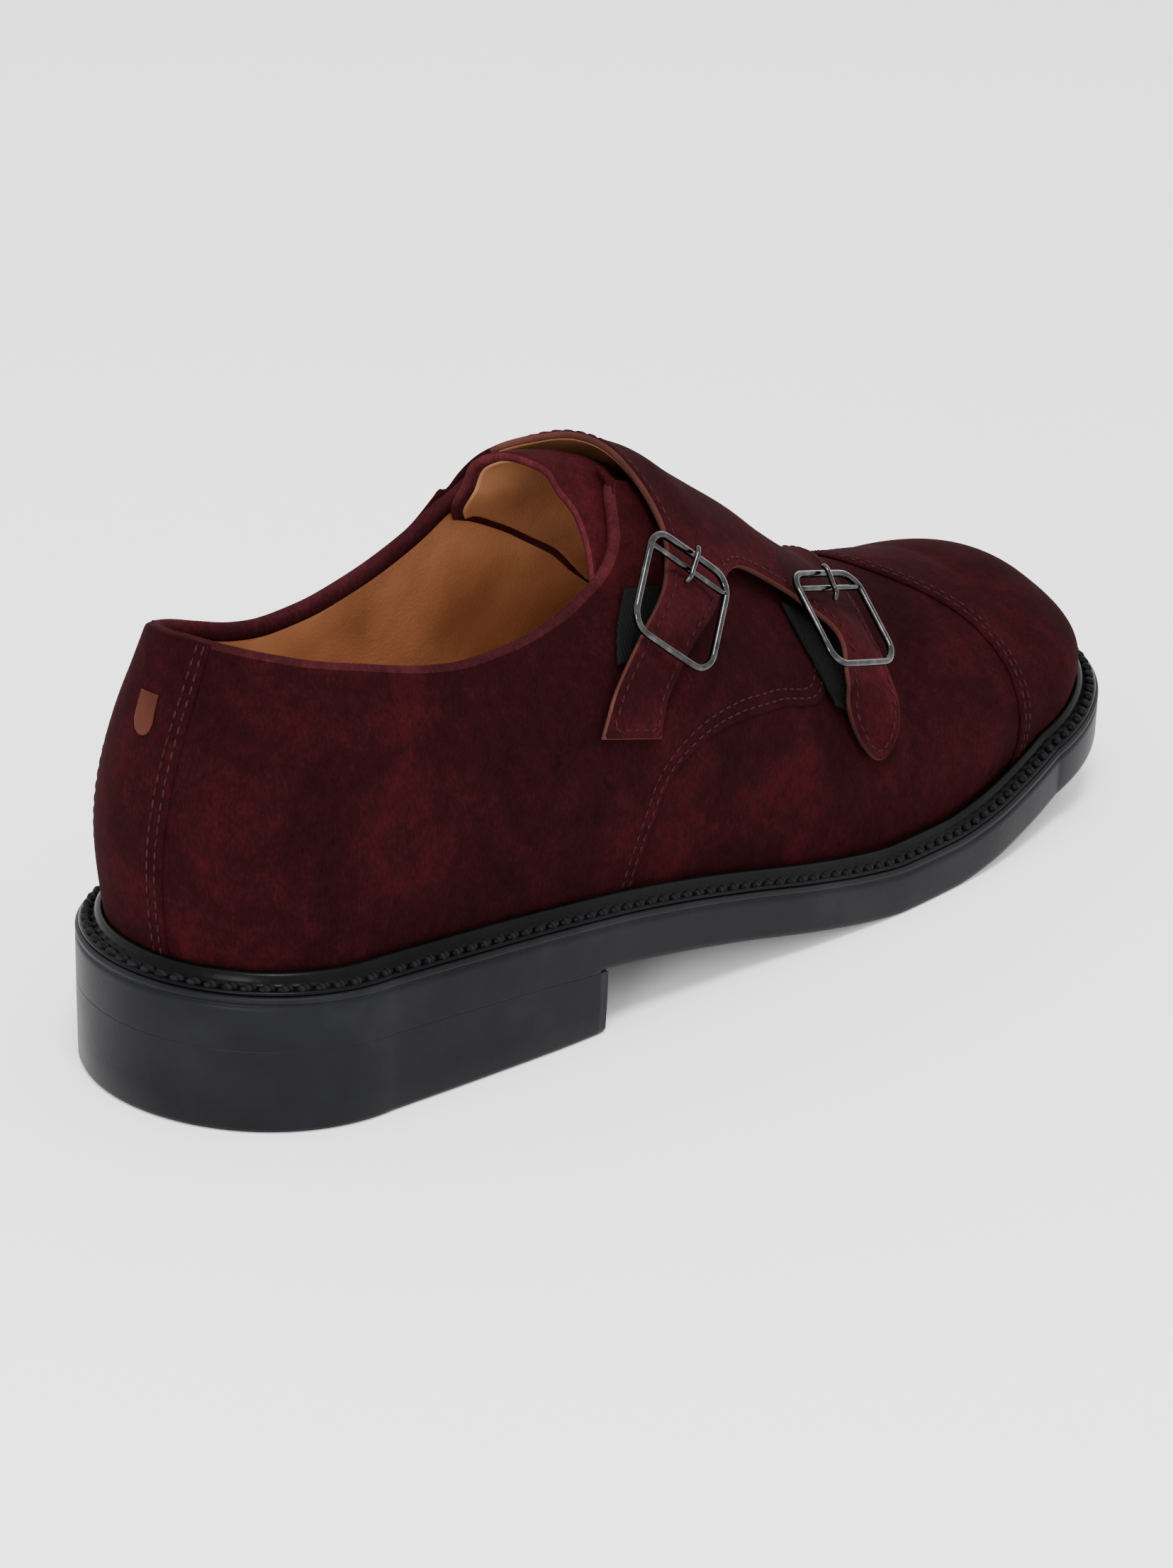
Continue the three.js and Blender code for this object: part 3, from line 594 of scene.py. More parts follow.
def dress(tree, skin, tone, stops, rough=None, relief=None):
    """Colours a skin by a pattern's tone; rough spreads its roughness over that tone, and
    relief is a pattern raised as bumps, with their strength and depth."""
    ramp = add(tree, "ShaderNodeValToRGB", {"Fac": tone}, stops=stops)
    tree.links.new(ramp.outputs["Color"], skin.inputs["Base Color"])
    if rough:
        dull = add(tree, "ShaderNodeMapRange",
                   {"Value": tone, "To Min": rough[0], "To Max": rough[1]})
        tree.links.new(dull.outputs[0], skin.inputs["Roughness"])
    if relief:
        bump = add(tree, "ShaderNodeBump",
                   dict(zip(("Height", "Strength", "Distance"), relief)))
        tree.links.new(bump.outputs[0], skin.inputs["Normal"])


def plain_leather(name, stops, rough, grain, shine=0.2):
    """Vegetable-tanned calf, glazed: even colour with a faint shine and a fine pore grain."""
    made, tree, skin, place = shader(name, Roughness=rough, Specular_IOR_Level=shine)
    cloud = add(tree, "ShaderNodeTexNoise", {"Vector": place, "Scale": 38, "Detail": 4.0})
    # pores about 0.7 mm apart
    pore = add(tree, "ShaderNodeTexVoronoi", {"Vector": place, "Scale": 1400})
    dress(tree, skin, cloud.outputs["Fac"], stops,
          relief=(pore.outputs["Distance"], grain, 0.0002))
    return made


LINING = plain_leather("calf_lining_tan_glazed",
                       ((0.3, "#8c5c3e"), (0.5, "#a6704c"), (0.72, "#b8825a")), 0.5, 0.25)
# a darker copy of the lining: painted shade for the tongue's lining, deep in the throat
TONGUE_LINING_SHADED = plain_leather("calf_lining_tan_shaded",
                              ((0.3, "#754c33"), (0.5, "#8b5c3e"), (0.72, "#9c6e4a")), 0.6, 0.25,
                              0.12)
RAW_EDGE = plain_leather("calf_cut_edge_undyed",
                         ((0.35, "#24120f"), (0.55, "#3a1e1a"), (0.75, "#543028")), 0.85, 0.6,
                         0.08)
PATCH = plain_leather("calf_heel_patch_bare",
                      ((0.35, "#27110c"), (0.55, "#381a13"), (0.75, "#48241b")), 0.7, 0.5, 0.05)


def rubber_of(name, stops, rough, pebble, size):
    """Moulded rubber: near-black grey, satin, with a faint bloom."""
    made, tree, skin, place = shader(name, Specular_IOR_Level=0.06)
    bloom = add(tree, "ShaderNodeTexNoise", {"Vector": place, "Scale": 55, "Detail": 5.0})
    grain = add(tree, "ShaderNodeTexNoise", {"Vector": place, "Scale": size, "Detail": 3.0})
    dress(tree, skin, bloom.outputs["Fac"], stops, (rough - 0.08, rough + 0.1),
          (grain.outputs["Fac"], pebble, 0.0003))
    return made


RUBBER = rubber_of("rubber_charcoal_moulded",
                   ((0.3, "#0e0e10"), (0.55, "#131316"), (0.75, "#1a1a1d")), 0.42, 0.12, 900)
WELT = rubber_of("rubber_welt_black_moulded",
                 ((0.3, "#030304"), (0.6, "#060607"), (0.8, "#0a0a0b")), 0.3, 0.2, 600)


def metal_of(name, stops, rough):
    """Steel wire plated in dark nickel: mirror-like, with small duller spots of wear."""
    made, tree, skin, place = shader(name, Metallic=1.0)
    wear = add(tree, "ShaderNodeTexNoise", {"Vector": place, "Scale": 400, "Detail": 4.0})
    dress(tree, skin, wear.outputs["Fac"], stops, (rough - 0.05, rough + 0.08))
    return made


NICKEL = metal_of("nickel_dark_plated_wire",
                  ((0.35, "#2b2a2b"), (0.55, "#3a393a"), (0.75, "#504f4e")), 0.1)


def woven_of(name, stops, thread):
    """Elastic or thread: fine parallel yarns, matt with a slight lustre on each yarn."""
    made, tree, skin, place = shader(name, Roughness=0.75, Specular_IOR_Level=0.08)
    yarn = add(tree, "ShaderNodeTexWave",
               {"Vector": place, "Scale": thread, "Distortion": 1.5, "Detail": 2.0})
    dress(tree, skin, yarn.outputs["Fac"], stops, relief=(yarn.outputs["Fac"], 0.5, 0.0003))
    return made


ELASTIC = woven_of("elastic_webbing_black", ((0.2, "#020202"), (0.8, "#060506")), 320)
THREAD = woven_of("polyester_thread_burgundy", ((0.2, "#1c070a"), (0.8, "#2f1014")), 500)
STRAP_THREAD = woven_of("polyester_thread_dark_burgundy", ((0.2, "#1a0709"), (0.8, "#301013")),
                        500)
WELT_THREAD = woven_of("waxed_cord_black", ((0.2, "#050506"), (0.8, "#101113")), 260)


# ---- the pattern pieces' lines
# the top line's height on each side
COLLAR_X = (0, 10, 20, 29, 39, 48, 57, 68, 80, 91, 100, 104, 107.5, 112, 116, 118.7, 121, 125,
            128)
COLLAR = {-1: column(COLLAR_X, (97, 96.2, 93.6, 91.1, 88.5, 86, 83.8, 82.5, 83, 84.6, 87.2, 88.6,
                                89.6, 91.4, 93.6, 96, 99.6, 104.6, 112)),
          1: column(COLLAR_X, (97, 96.2, 92.6, 89.7, 86.4, 83.8, 82.6, 83.2, 85.8, 89.8, 95, 99.4,
                               103.6, 107.8, 110.5, 112, 113, 114.5, 118))}


def collar_girth(q, side):
    """Girth of the top line at station q."""
    line = station_line(q, side)
    over = line[:, 2] - COLLAR[side](line[:, 0])
    k = int(np.nonzero(over < 0)[0][0])
    if k == 0:
        return 0.0
    return float(GIRTHS[k - 1] + over[k - 1] / (over[k - 1] - over[k]) * GIRTH_STEP)


# the heel strip's two edges, round from the back seam: the lateral one by height
STRIP_EDGE = {-1: column((24, 42, 53, 64, 75, 85, 92, 97),
                         (5.2, 5.0, 5.4, 6.6, 8.4, 10.2, 11.4, 12)),
              1: lambda z: 30.0}


def strip_line(side, extra=0.0):
    """(round, girth) points of the heel strip's edge, from the top line to the feather."""
    rows = []
    for z in (97, 92, 85, 75, 64, 53, 42, 34, 29.5):
        u = STRIP_EDGE[side](z) + extra
        rows.append((side * u, max(girth_at(BACK + u, side, z), collar_girth(BACK + u, side))))
    return rows + [(side * u, float(foot_girth(BACK + u, side)) + 0.6)]


# front edges of the quarters, (station, girth) from the throat to the feather edge
LAT_FOOT, MED_FOOT = 105.4, 118.0
FRONT_LAT = [(185.5, -9), (184, -20), (180, -35), (174.5, -47)] + [
    (x, -girth_at(x, -1, z)) for x, z in (
        (168.4, 50.4), (155.5, 53), (142.2, 54.2), (133, 54), (125.8, 52.6), (119, 49.8),
        (114.4, 46.4), (111.4, 41.7), (108.4, 35.4), (106.6, 29.8))
] + [(LAT_FOOT, tucked(LAT_FOOT, -1))]
FRONT_MED = [(210.5, 15), (209, 22), (204, 29.5), (195, 36), (183, 41.5), (168, 47.5),
             (154, 53), (141, 58.5), (131, 64.5), (124, 72), (120, 80),
             (MED_FOOT, tucked(MED_FOOT, 1))]
# rear edge of the toe cap in the toe's flat pattern
CAP_EDGE = [(237.4, tucked(237.4, -1)), (237.6, -55), (238.4, -49), (239, -42.8),
            (237.9, -35.5), (235.6, -28.6), (232.2, -22), (228.6, -16.6), (224.6, -10.8),
            (221.6, -5), (220.6, 0), (221.6, 5), (224.6, 11), (228.6, 17), (232.4, 23),
            (235.6, 29.4), (237.6, 36.5), (238.4, 44), (238, 50), (237, tucked(237, 1))]


def feather(side, q0, q1):
    """Feather edge in side coordinates from station q0 to q1."""
    return [(q, tucked(q, side)) for q in np.linspace(q0, q1, max(2, int(abs(q1 - q0) / 2)))]


def feather_toe():
    """Feather edge round the toe in the toe's flat pattern, lateral to medial."""
    rows = []
    for side, turns in ((-1, np.linspace(0, 90, 40)), (1, np.linspace(90, 0, 40)[1:])):
        for turn in turns:
            r, a = tucked(TOE_AXIS + TOE_WRAP * turn / 90, side), math.radians(turn)
            rows.append((TOE_AXIS + abs(r) * math.sin(a), r * math.cos(a)))
    return rows


def outline_of(*runs):
    """Closed outline from smooth runs that meet at corners."""
    parts = [through(run)[:-1] for run in runs]
    line = np.vstack(parts)
    keep = np.linalg.norm(line - np.roll(line, 1, axis=0), axis=1) > 0.25
    return line[keep]


# ---- soft form of the leather
# gentle troughs (-) and ridges (+): middle, half lengths, turn in degrees, depth in mm
CREASES_LAT = [((60, -62), (26, 7), 12, -0.5), ((84, -78), (20, 6), -8, 0.4),
               ((44, -80), (14, 9), 60, -0.45), ((98, -66), (12, 5), 35, -0.45),
               ((120, -58), (13, 5), 25, -0.5), ((70, -90), (24, 5), 0, -0.35)]
CREASES_TOE = [((205, -44), (15, 4), 62, -0.45), ((216, -36), (14, 4), 58, 0.3),
               ((196, -56), (16, 4), 70, -0.35), ((212, 30), (13, 4), -60, -0.4),
               ((205, 44), (14, 4), -66, 0.3), ((262, -20), (9, 14), 0, 0.25)]
CREASES_MED = [((60, 66), (24, 7), -10, -0.5), ((96, 70), (16, 6), -30, -0.4),
               ((140, 34), (18, 7), -20, -0.4), ((180, 10), (16, 5), 80, -0.35)]


def soft_form(creases, u, v):
    """Height of all the creases over the pattern."""
    total = np.zeros(len(u))
    for (cu, cv), (lu, lv), turn, depth in creases:
        a = math.radians(turn)
        du, dv = u - cu, v - cv
        s = (du * math.cos(a) + dv * math.sin(a)) / lu
        t = (-du * math.sin(a) + dv * math.cos(a)) / lv
        total += depth * np.exp(-(s * s + t * t))
    return total


# ---- upper
TURNED = [SUEDE, SUEDE, LINING]     # outer face, edge and inner face of a turned piece
THIN_EDGE = 0.1                     # wall share of an edge skived before it is turned
# heights of the pieces' inner faces over the last
QUARTER_LIFT, VAMP_LIFT, CAP_LIFT, STRIP_LIFT = -0.9, -1.7, -0.75, -0.15
STRIP_LAP = 3.0                     # how far the quarters run on under the heel strip
COLLAR_START = BACK + 8
THROAT = 13.0                       # girth of the throat's edge, beside the ridge
THROAT_START = (127.6, -THROAT)


def under_strip(side, collar):
    """A quarter's rear edge below its top line's first point, from the top down."""
    return [collar[0]] + [(BACK + abs(u) - STRIP_LAP, side * g) for u, g in strip_line(side)[1:]]


lat_collar = [(q, -collar_girth(q, -1)) for q in
              [*np.linspace(COLLAR_START, HEEL_AXIS, 16), *range(39, 117, 4), 118.5, 120.5,
               122.5, 124.5, 126]] + [THROAT_START]
lat_throat = [THROAT_START, (140, -13.2), (152, -12.6), (165, -11.4), (176, -10), (185.5, -9)]
strip_lat = under_strip(-1, lat_collar)
quarter = leather(
    "quarter_lateral",
    outline_of(lat_collar, lat_throat, FRONT_LAT, feather(-1, LAT_FOOT, strip_lat[-1][0]),
               strip_lat[::-1]),
    on_last, lambda u, v: QUARTER_LIFT + soft_form(CREASES_LAT, u, v), LEATHER, TURNED,
    wall=THIN_EDGE)


def forepart(name, rear, lift, thick):
    """A piece round the toe in front of its rear edge, which runs lateral to medial."""
    edge = outline_of(rear, feather(1, rear[-1][0], TOE_AXIS), feather_toe()[::-1],
                      feather(-1, TOE_AXIS, rear[0][0]))
    return leather(name, edge, chart_toe, lambda u, v: lift + soft_form(CREASES_TOE, u, v),
                   thick, TURNED, wall=THIN_EDGE)


# the vamp lies under the quarters and the cap
vamp = forepart("vamp", [
    (100, tucked(100, -1)), (104, -80), (114, -68), (130, -59), (150, -50), (166, -38),
    (178, -22), (181, -8), (181, 8), (178, 22), (168, 36), (150, 46), (130, 56), (116, 68),
    (110, tucked(110, 1))], VAMP_LIFT, LEATHER)
cap = forepart("toe_cap", CAP_EDGE, CAP_LIFT, 1.0)

# medial quarter, which runs on over the instep as the flap and its two straps
STRAP_LIFT = column((-70, -62, -54, -47, -32, -22, -10, 6, 18, 34, 110),
                    (0.5, 0.8, 1.8, 2.7, 2.7, 1.8, 0.7, 0.35, 0.1, -0.9, -0.9))
STRAP_THICK = column((-70, -40, -20, 10, 34, 110), (1.5, 1.6, 2.0, 2.0, 1.1, 1.1))
# painted light along the straps, by girth: the suede is drawn lighter where they run through the
# frames' shade
STRAP_PAINTED_LIGHT = column((-70, -64, -58, -52, -45, -34, -26, -12, 10),
                       (0.5, 0.4, 0.1, 0.3, 1.0, 0.9, 0.2, 0, 0))
# the straps swell up through the frames
SWELLS = [((126.5, -42.5), (9, 6.5), 0, 2.2), ((181.5, -36.5), (8, 6.5), 0, 2.8),
          ((127.0, -10), (5, 14), 0, 1.3)]
FLAP_CORNER = 104.5     # station where the medial top line meets the flap
FLAP_CUT = 10.0         # girth below which the flap's edge is left cut
med_collar = [(q, collar_girth(q, 1)) for q in
              [*np.linspace(COLLAR_START, HEEL_AXIS, 16), *range(39, 104, 4), FLAP_CORNER]]
# edges of the flap and its straps, (station, girth) one after another
FLAP_REAR = [(106.6, 20.5), (108.6, 16.5), (111, 12), (115, 8), (120, 5), (125, 2),
             (128.2, -1), (129.2, -6), (129.2, -12), (129.2, -19), (128.8, -25.5),
             (126.6, -31.5), (122.2, -37.5), (116.2, -43.6), (108.8, -49.8), (101.6, -57),
             (97.6, -63), (95.4, -66.4)]
REAR_STRAP_END = [(95.4, -66.4), (101, -67.6), (107, -68.7), (112.2, -69.4)]
REAR_STRAP_FRONT = [(112.2, -69.4), (114.8, -63), (119.8, -57), (127, -50), (135, -43.6),
                    (141.8, -37.6), (146, -33), (151, -30), (157, -29.2), (163.4, -29.6),
                    (170, -31), (175.4, -34.6), (177.6, -40), (175.8, -49)]
FRONT_STRAP_END = [(175.8, -49), (174.2, -53.5), (174.4, -57.6), (176, -61), (178.8, -63.4),
                   (181, -63.6), (184.8, -61.2), (188.2, -57), (190.6, -52), (191.8, -46)]
FLAP_FRONT = [(191.8, -46), (192.6, -38), (193.6, -31), (196.4, -25.5), (199.6, -18.5),
              (203.6, -11.6), (207.2, -5.8), (209.8, -0.6), (211.3, 5), (211.6, 10)]
strip_med = under_strip(1, med_collar)
flap_outline = outline_of(
    med_collar + FLAP_REAR, REAR_STRAP_END, REAR_STRAP_FRONT, FRONT_STRAP_END,
    FLAP_FRONT + FRONT_MED, feather(1, MED_FOOT, strip_med[-1][0]), strip_med[::-1])
flap = leather(
    "quarter_medial_with_straps", flap_outline, on_last,
    lambda u, v: STRAP_LIFT(v) + soft_form(CREASES_MED + SWELLS, u, v),
    lambda u, v: STRAP_THICK(v), [SUEDE, RAW_EDGE, LINING], wall=0.25, rings=(0.2, 0.9),
    cut=lambda v: v < FLAP_CUT, painted_light=STRAP_PAINTED_LIGHT)

# strip down the back seam
left, right = strip_line(-1), strip_line(1)
strip = leather(
    "heel_strip",
    outline_of(left, [(u, abs(tucked(BACK + abs(u), -1)))
                      for u in np.linspace(left[-1][0], right[-1][0], 8)], right[::-1],
               [(u, collar_girth(BACK + abs(u), -1 if u < 0 else 1) + 0.1)
                for u in np.linspace(right[0][0], left[0][0], 14)]),
    chart_heel, STRIP_LIFT, 0.9, TURNED, spacing=1.2, wall=THIN_EDGE)


# ---- turned rim of the top line
def wrap_points(u, girths, off):
    """Points round the heel chart at an offset along the normal."""
    return chart_heel(u, girths) + normals_of(chart_heel, u, girths) * off


RIM_FRONT = {-1: 127.2, 1: 109.6}    # stations of its ends, at the throat and under the flap
RIM_STEP = 1.4
RIM_HIDDEN = 0.6                     # how far it keeps under the flap's edge
# (out, along the wall) points of the rim's section
RIM_SECTION = [(0.1, 1.8), (0.22, 0.7), (0.0, -0.25), (-0.75, -0.72), (-1.7, -0.68),
               (-2.4, -0.15), (-2.75, 0.7), (-2.9, 1.7), (-2.85, 2.5), (-2.6, 2.7),
               (-2.2, 2.6), (-2.0, 1.5), (-0.8, 1.3)]


def rim_girth(u):
    """The top line's girth, kept off the throat and led on under the flap's corner."""
    q = BACK + abs(u)
    if u < 0:
        return max(collar_girth(q, -1), THROAT)
    if q <= FLAP_CORNER:
        return collar_girth(q, 1)
    corner = [med_collar[-1], *FLAP_REAR[:3]]
    return RIM_HIDDEN + float(np.interp(q, *zip(*corner)))


rim_u = np.r_[through([(BACK - RIM_FRONT[-1], 0), (0, 0)], RIM_STEP)[:, 0],
              through([(0, 0), (RIM_FRONT[1] - BACK, 0)], RIM_STEP)[1:, 0]]
rim_line = np.array([(u, rim_girth(u)) for u in rim_u])
for _ in range(3):
    rim_line[1:-1, 1] = (rim_line[:-2, 1] + 2 * rim_line[1:-1, 1] + rim_line[2:, 1]) / 4
# down is across the line, so that the rim keeps its width where the line climbs
rim_rings = [wrap_points(*beside(rim_line, down).T, out) for out, down in RIM_SECTION]
# the rim is the lighter suede copy: painted light along the top line
collar_rim = sweep("collar_rim", np.array(rim_rings).transpose(1, 0, 2), SUEDE_PAINTED_LIT,
                   closed=False, caps=True)


# ---- lining
def throat_top(q, side):
    """Girth of the upper's free edge: the top line, then the throat, then the ridge."""
    free = collar_girth(q, side) if q < 127 else 0.0
    slot = THROAT * (1 - smooth(176, 190, q)) if q > (118 if side < 0 else 100) else 0.0
    if side > 0 and q > 100:   # lower beside the flap, which covers it
        slot += 7.5 * (1 - smooth(114, 132, q))
    return float(max(free, slot, 0.4))


LINING_END = 262 - BACK
LINING_ROWS = 26
LINING_IN, LINING_OUT = -WALL - 0.15, -WALL + 0.5   # its two faces, over the last
lining_rings = []
for u in np.r_[np.linspace(-LINING_END, -HEEL_WRAP, 120),
               np.linspace(-HEEL_WRAP, HEEL_WRAP, 50)[1:-1],
               np.linspace(HEEL_WRAP, LINING_END, 120)]:
    q, side = BACK + abs(u), -1 if u < 0 else 1
    top = throat_top(q, side) + 1.4 + 0.3 * (1 - smooth(120, 135, q))
    girths = np.linspace(top, float(foot_girth(q, side)) - 1.0, LINING_ROWS)
    round_at = np.full(LINING_ROWS, u)
    lining_rings.append(np.vstack([wrap_points(round_at, girths, LINING_IN),
                                   wrap_points(round_at, girths[::-1], LINING_OUT)]))
lining = sweep("quarter_lining", np.array(lining_rings), LINING, closed=False, caps=True)

# ---- tongue
TONGUE_REAR = [(106.5, 25.2), (104.6, 22), (104.2, 17), (105.4, 10), (107.4, 3), (109.6, -4),
               (111.8, -9), (113.4, -14), (114, -18.5), (113.4, -23), (112.2, -28),
               (110.4, -33), (109.6, -35)]
TONGUE_LATERAL = [(109.6, -35), (125, -36), (140, -33), (155, -28), (174, -24)]
TONGUE_FRONT = [(174, -24), (186, -16), (196, -9), (200, 0), (196, 9), (188, 16), (178, 22),
                (168, 29), (157, 35.5)]
TONGUE_MEDIAL = [(157, 35.5), (145, 34.2), (132, 32), (120, 28.5), (112, 26.2), (106.5, 25.2)]


def tongue_thick(u, v):
    """Thinner towards its medial edge, where it is sewn in."""
    return 2.0 - 0.7 * smooth(17, 25, v)


def tongue_lift(u, v):
    """Against the upper's inside, with its free rear end pushed up in the middle."""
    free = 1 - smooth(8, 15, np.abs(v - 1))
    return -WALL - 0.5 - tongue_thick(u, v) + 2.3 * free * (1 - smooth(112, 150, u))


# painted light on the tongue: its edge and inner face are the lighter suede copy, and its suede is
# drawn lighter all over
tongue = leather(
    "tongue", outline_of(TONGUE_REAR, TONGUE_LATERAL, TONGUE_FRONT, TONGUE_MEDIAL), on_last,
    tongue_lift, tongue_thick, [SUEDE, SUEDE_PAINTED_LIT, SUEDE_PAINTED_LIT], round_over=0.9, wall=0.2,
    painted_light=lambda v: np.full(len(v), 0.45))
# its lining stops short of the turned rear edge
REAR_TURN, SIDE_TURN = 2.8, 1.9
lined = [(u + REAR_TURN, v) for u, v in TONGUE_REAR[:-1]] + [(112.6, -34.2)]
lined[0] = (lined[0][0], lined[0][1] - 0.5)
low_edge = [(u, v - SIDE_TURN) for u, v in TONGUE_MEDIAL[1:-1]]
tongue_lining = leather(
    "tongue_lining",
    outline_of(lined, [lined[-1], (125, -35), (140, -32), (155, -27), (172, -23)],
               [(172, -23), (184, -15), (193, -8), (196, 0), (193, 8), (186, 15), (176, 21),
                (166, 28), (155, 34.6)], [(155, 34.6), *low_edge, lined[0]]),
    on_last, lambda u, v: tongue_lift(u, v) - 0.45, 0.8, [TONGUE_LINING_SHADED] * 3,
    round_over=0.5)

# ---- tabs that carry the buckles
TABS = {"rear": ([(113, -38), (107, -46), (104, -53)], [(104, -53), (119, -53)],
                 [(119, -53), (125, -46), (134, -38)], [(134, -38), (113, -38)]),
        "front": ([(168, -31), (170, -43), (172.4, -54)], [(172.4, -54), (186, -54)],
                  [(186, -54), (187, -43), (187, -31)], [(187, -31), (168, -31)])}
tabs = [leather(f"buckle_tab_{name}", outline_of(*runs), on_last, 0.4, 1.1, [ELASTIC] * 3,
                round_over=0.5) for name, runs in TABS.items()]


# ---- sole
SOLE_STATIONS = stations(44, 2.0, 56)


def feather_plan(side):
    """Plan points of the feather edge from the back seam to the tip."""
    return on_last(SOLE_STATIONS, side * (foot_girth(SOLE_STATIONS, side) + 1e-6))[:, :2]


MIDDLE_Y = (feather_plan(-1)[0, 1] + feather_plan(1)[0, 1]) / 2


def offset_line(side, distance, breast=None):
    """Plan line at a distance outside the feather edge, cut off at the heel's breast."""
    p = feather_plan(side)
    t = np.gradient(p, axis=0)
    n = np.stack([-t[:, 1], t[:, 0]], axis=1) * side
    n[0], n[-1] = (-1, 0), (1, 0)
    n /= np.linalg.norm(n, axis=1)[:, None]
    line = p + n * (distance(p[:, :1]) if callable(distance) else distance)
    line[[0, -1], 1] = MIDDLE_Y
    if breast is not None:
        line = line[line[:, 0] < breast - 0.3]
        line = np.vstack([line, [(breast, line[-1, 1])]])
    return line


def outline_loop(out):
    """Closed plan line round the shoe at a distance from the feather edge."""
    return np.vstack([offset_line(-1, out), offset_line(1, out)[::-1][1:-1]])


CROSS = 12   # cells from side to side in a block's top and bottom


def block(name, rings, material, breast=None):
    """Solid inside the feather outline, from (out, height) rings, top to bottom."""
    verts, faces, loops = [], [], []
    share = np.linspace(0, 1, CROSS + 1)[1:-1, None]
    for k, (out, height) in enumerate(rings):
        edge = None if breast is None else breast + min(0.0, out - WELT_OUT)
        lat, med = offset_line(-1, out, edge), offset_line(1, out, edge)
        m = min(len(lat), len(med))
        if breast is None:
            loop = outline_loop(out)
        else:
            lat, med = (np.vstack([line[:m - 1], line[-1:]]) for line in (lat, med))
            loop = np.vstack([lat, lat[-1] + (med[-1] - lat[-1]) * share, med[::-1][:-1]])
        first, n = len(verts), len(loop)
        loops.append(range(first, first + n))
        verts.extend(np.c_[loop, height(loop[:, 0])])
        if k not in (0, len(rings) - 1):
            continue
        # rows of points from side to side; the first closes in one point, and so does the
        # last where there is no breast
        ids = [[first] * (CROSS + 1)]
        for i in range(1, m - 1):
            ids.append([first + i, *range(len(verts), len(verts) + CROSS - 1), first + n - i])
            inner = lat[i] + (med[i] - lat[i]) * share
            verts.extend(np.c_[inner, height(inner[:, 0])])
        ids.append([first + m - 1 + (0 if breast is None else j) for j in range(CROSS + 1)])
        for r0, r1 in zip(ids, ids[1:]):
            for j in range(CROSS):
                face = tuple(dict.fromkeys((r0[j], r1[j], r1[j + 1], r0[j + 1])))
                if len(face) > 2:
                    faces.append(face)
    for top, low in zip(loops, loops[1:]):
        for i in range(-1, len(top) - 1):
            faces.append((top[i], top[i + 1], low[i + 1], low[i]))
    made = object_of(name, np.array(verts), faces, [material])
    recalculate(made)
    return made


def below(drop):
    """Height rule: so far under the sole's top, and not under the floor."""
    return lambda x: np.maximum(sole_top(x) - drop, 0)


def above(share, drop=0.0, most=99.0):
    """Height rule: a share of the outsole's bottom height less a drop, or at most so much."""
    return lambda x: np.minimum(most, below(OUTSOLE)(x) * share - drop)


def ahead_of_heel(out):
    """An outsole ring drawn in only where no heel continues it."""
    return lambda x: np.where(x < HEEL_BREAST - 1, WELT_OUT, out)


outsole = block("outsole", [
    (5.6, below(0)), (6.4, below(0.02)), (6.8, below(0.2)), (WELT_OUT, below(0.55)),
    (WELT_OUT, below(0.95)), (6.8, below(1.25)), (6.55, below(1.45)), (6.5, below(1.75)),
    (6.7, below(2)), (6.95, below(2.3)), (WELT_OUT, below(3)), (WELT_OUT, below(9.6)),
    (ahead_of_heel(6.9), below(10.5)), (ahead_of_heel(6.5), below(11)),
    (ahead_of_heel(5.8), below(OUTSOLE)), (4.4, below(OUTSOLE))], RUBBER)
heel = block("heel", [
    (6.2, above(1, 0.02)), (WELT_OUT, above(1, 0.02)), (WELT_OUT, above(1, 0.4)),
    (WELT_OUT, above(0.8)), (6.95, above(0.4)), (6.9, above(0.3, most=1.2)),
    (6.5, above(0.2, most=0.35)), (5.9, above(0))], RUBBER, breast=HEEL_BREAST)
insole = block("insole", [
    (-3.4, lambda x: sole_top(x) + 3.3), (-3, lambda x: sole_top(x) + 3),
    (-2.9, lambda x: sole_top(x) + 0.4)], LINING)

# (out, up) points over the sole's edge: a rounded ridge, then the shelf that is stitched
WELT_SECTION = [(0.7, 0.2), (0.8, 2.2), (1.1, 3.1), (1.7, 3.55), (2.4, 3.45), (2.95, 2.9),
                (3.2, 2.0), (3.5, 1.3), (4.1, 1.05), (5.5, 1.0), (6.05, 0.85), (6.25, 0.5),
                (6.1, 0.12), (3.5, 0.1)]


def welt_loop(out, up):
    """Closed line round the welt, at a height over the sole's top."""
    loop = outline_loop(out)
    return np.c_[loop, sole_top(loop[:, 0]) + up]


welt = sweep("welt", np.array([welt_loop(*p) for p in WELT_SECTION]).transpose(1, 0, 2), WELT)


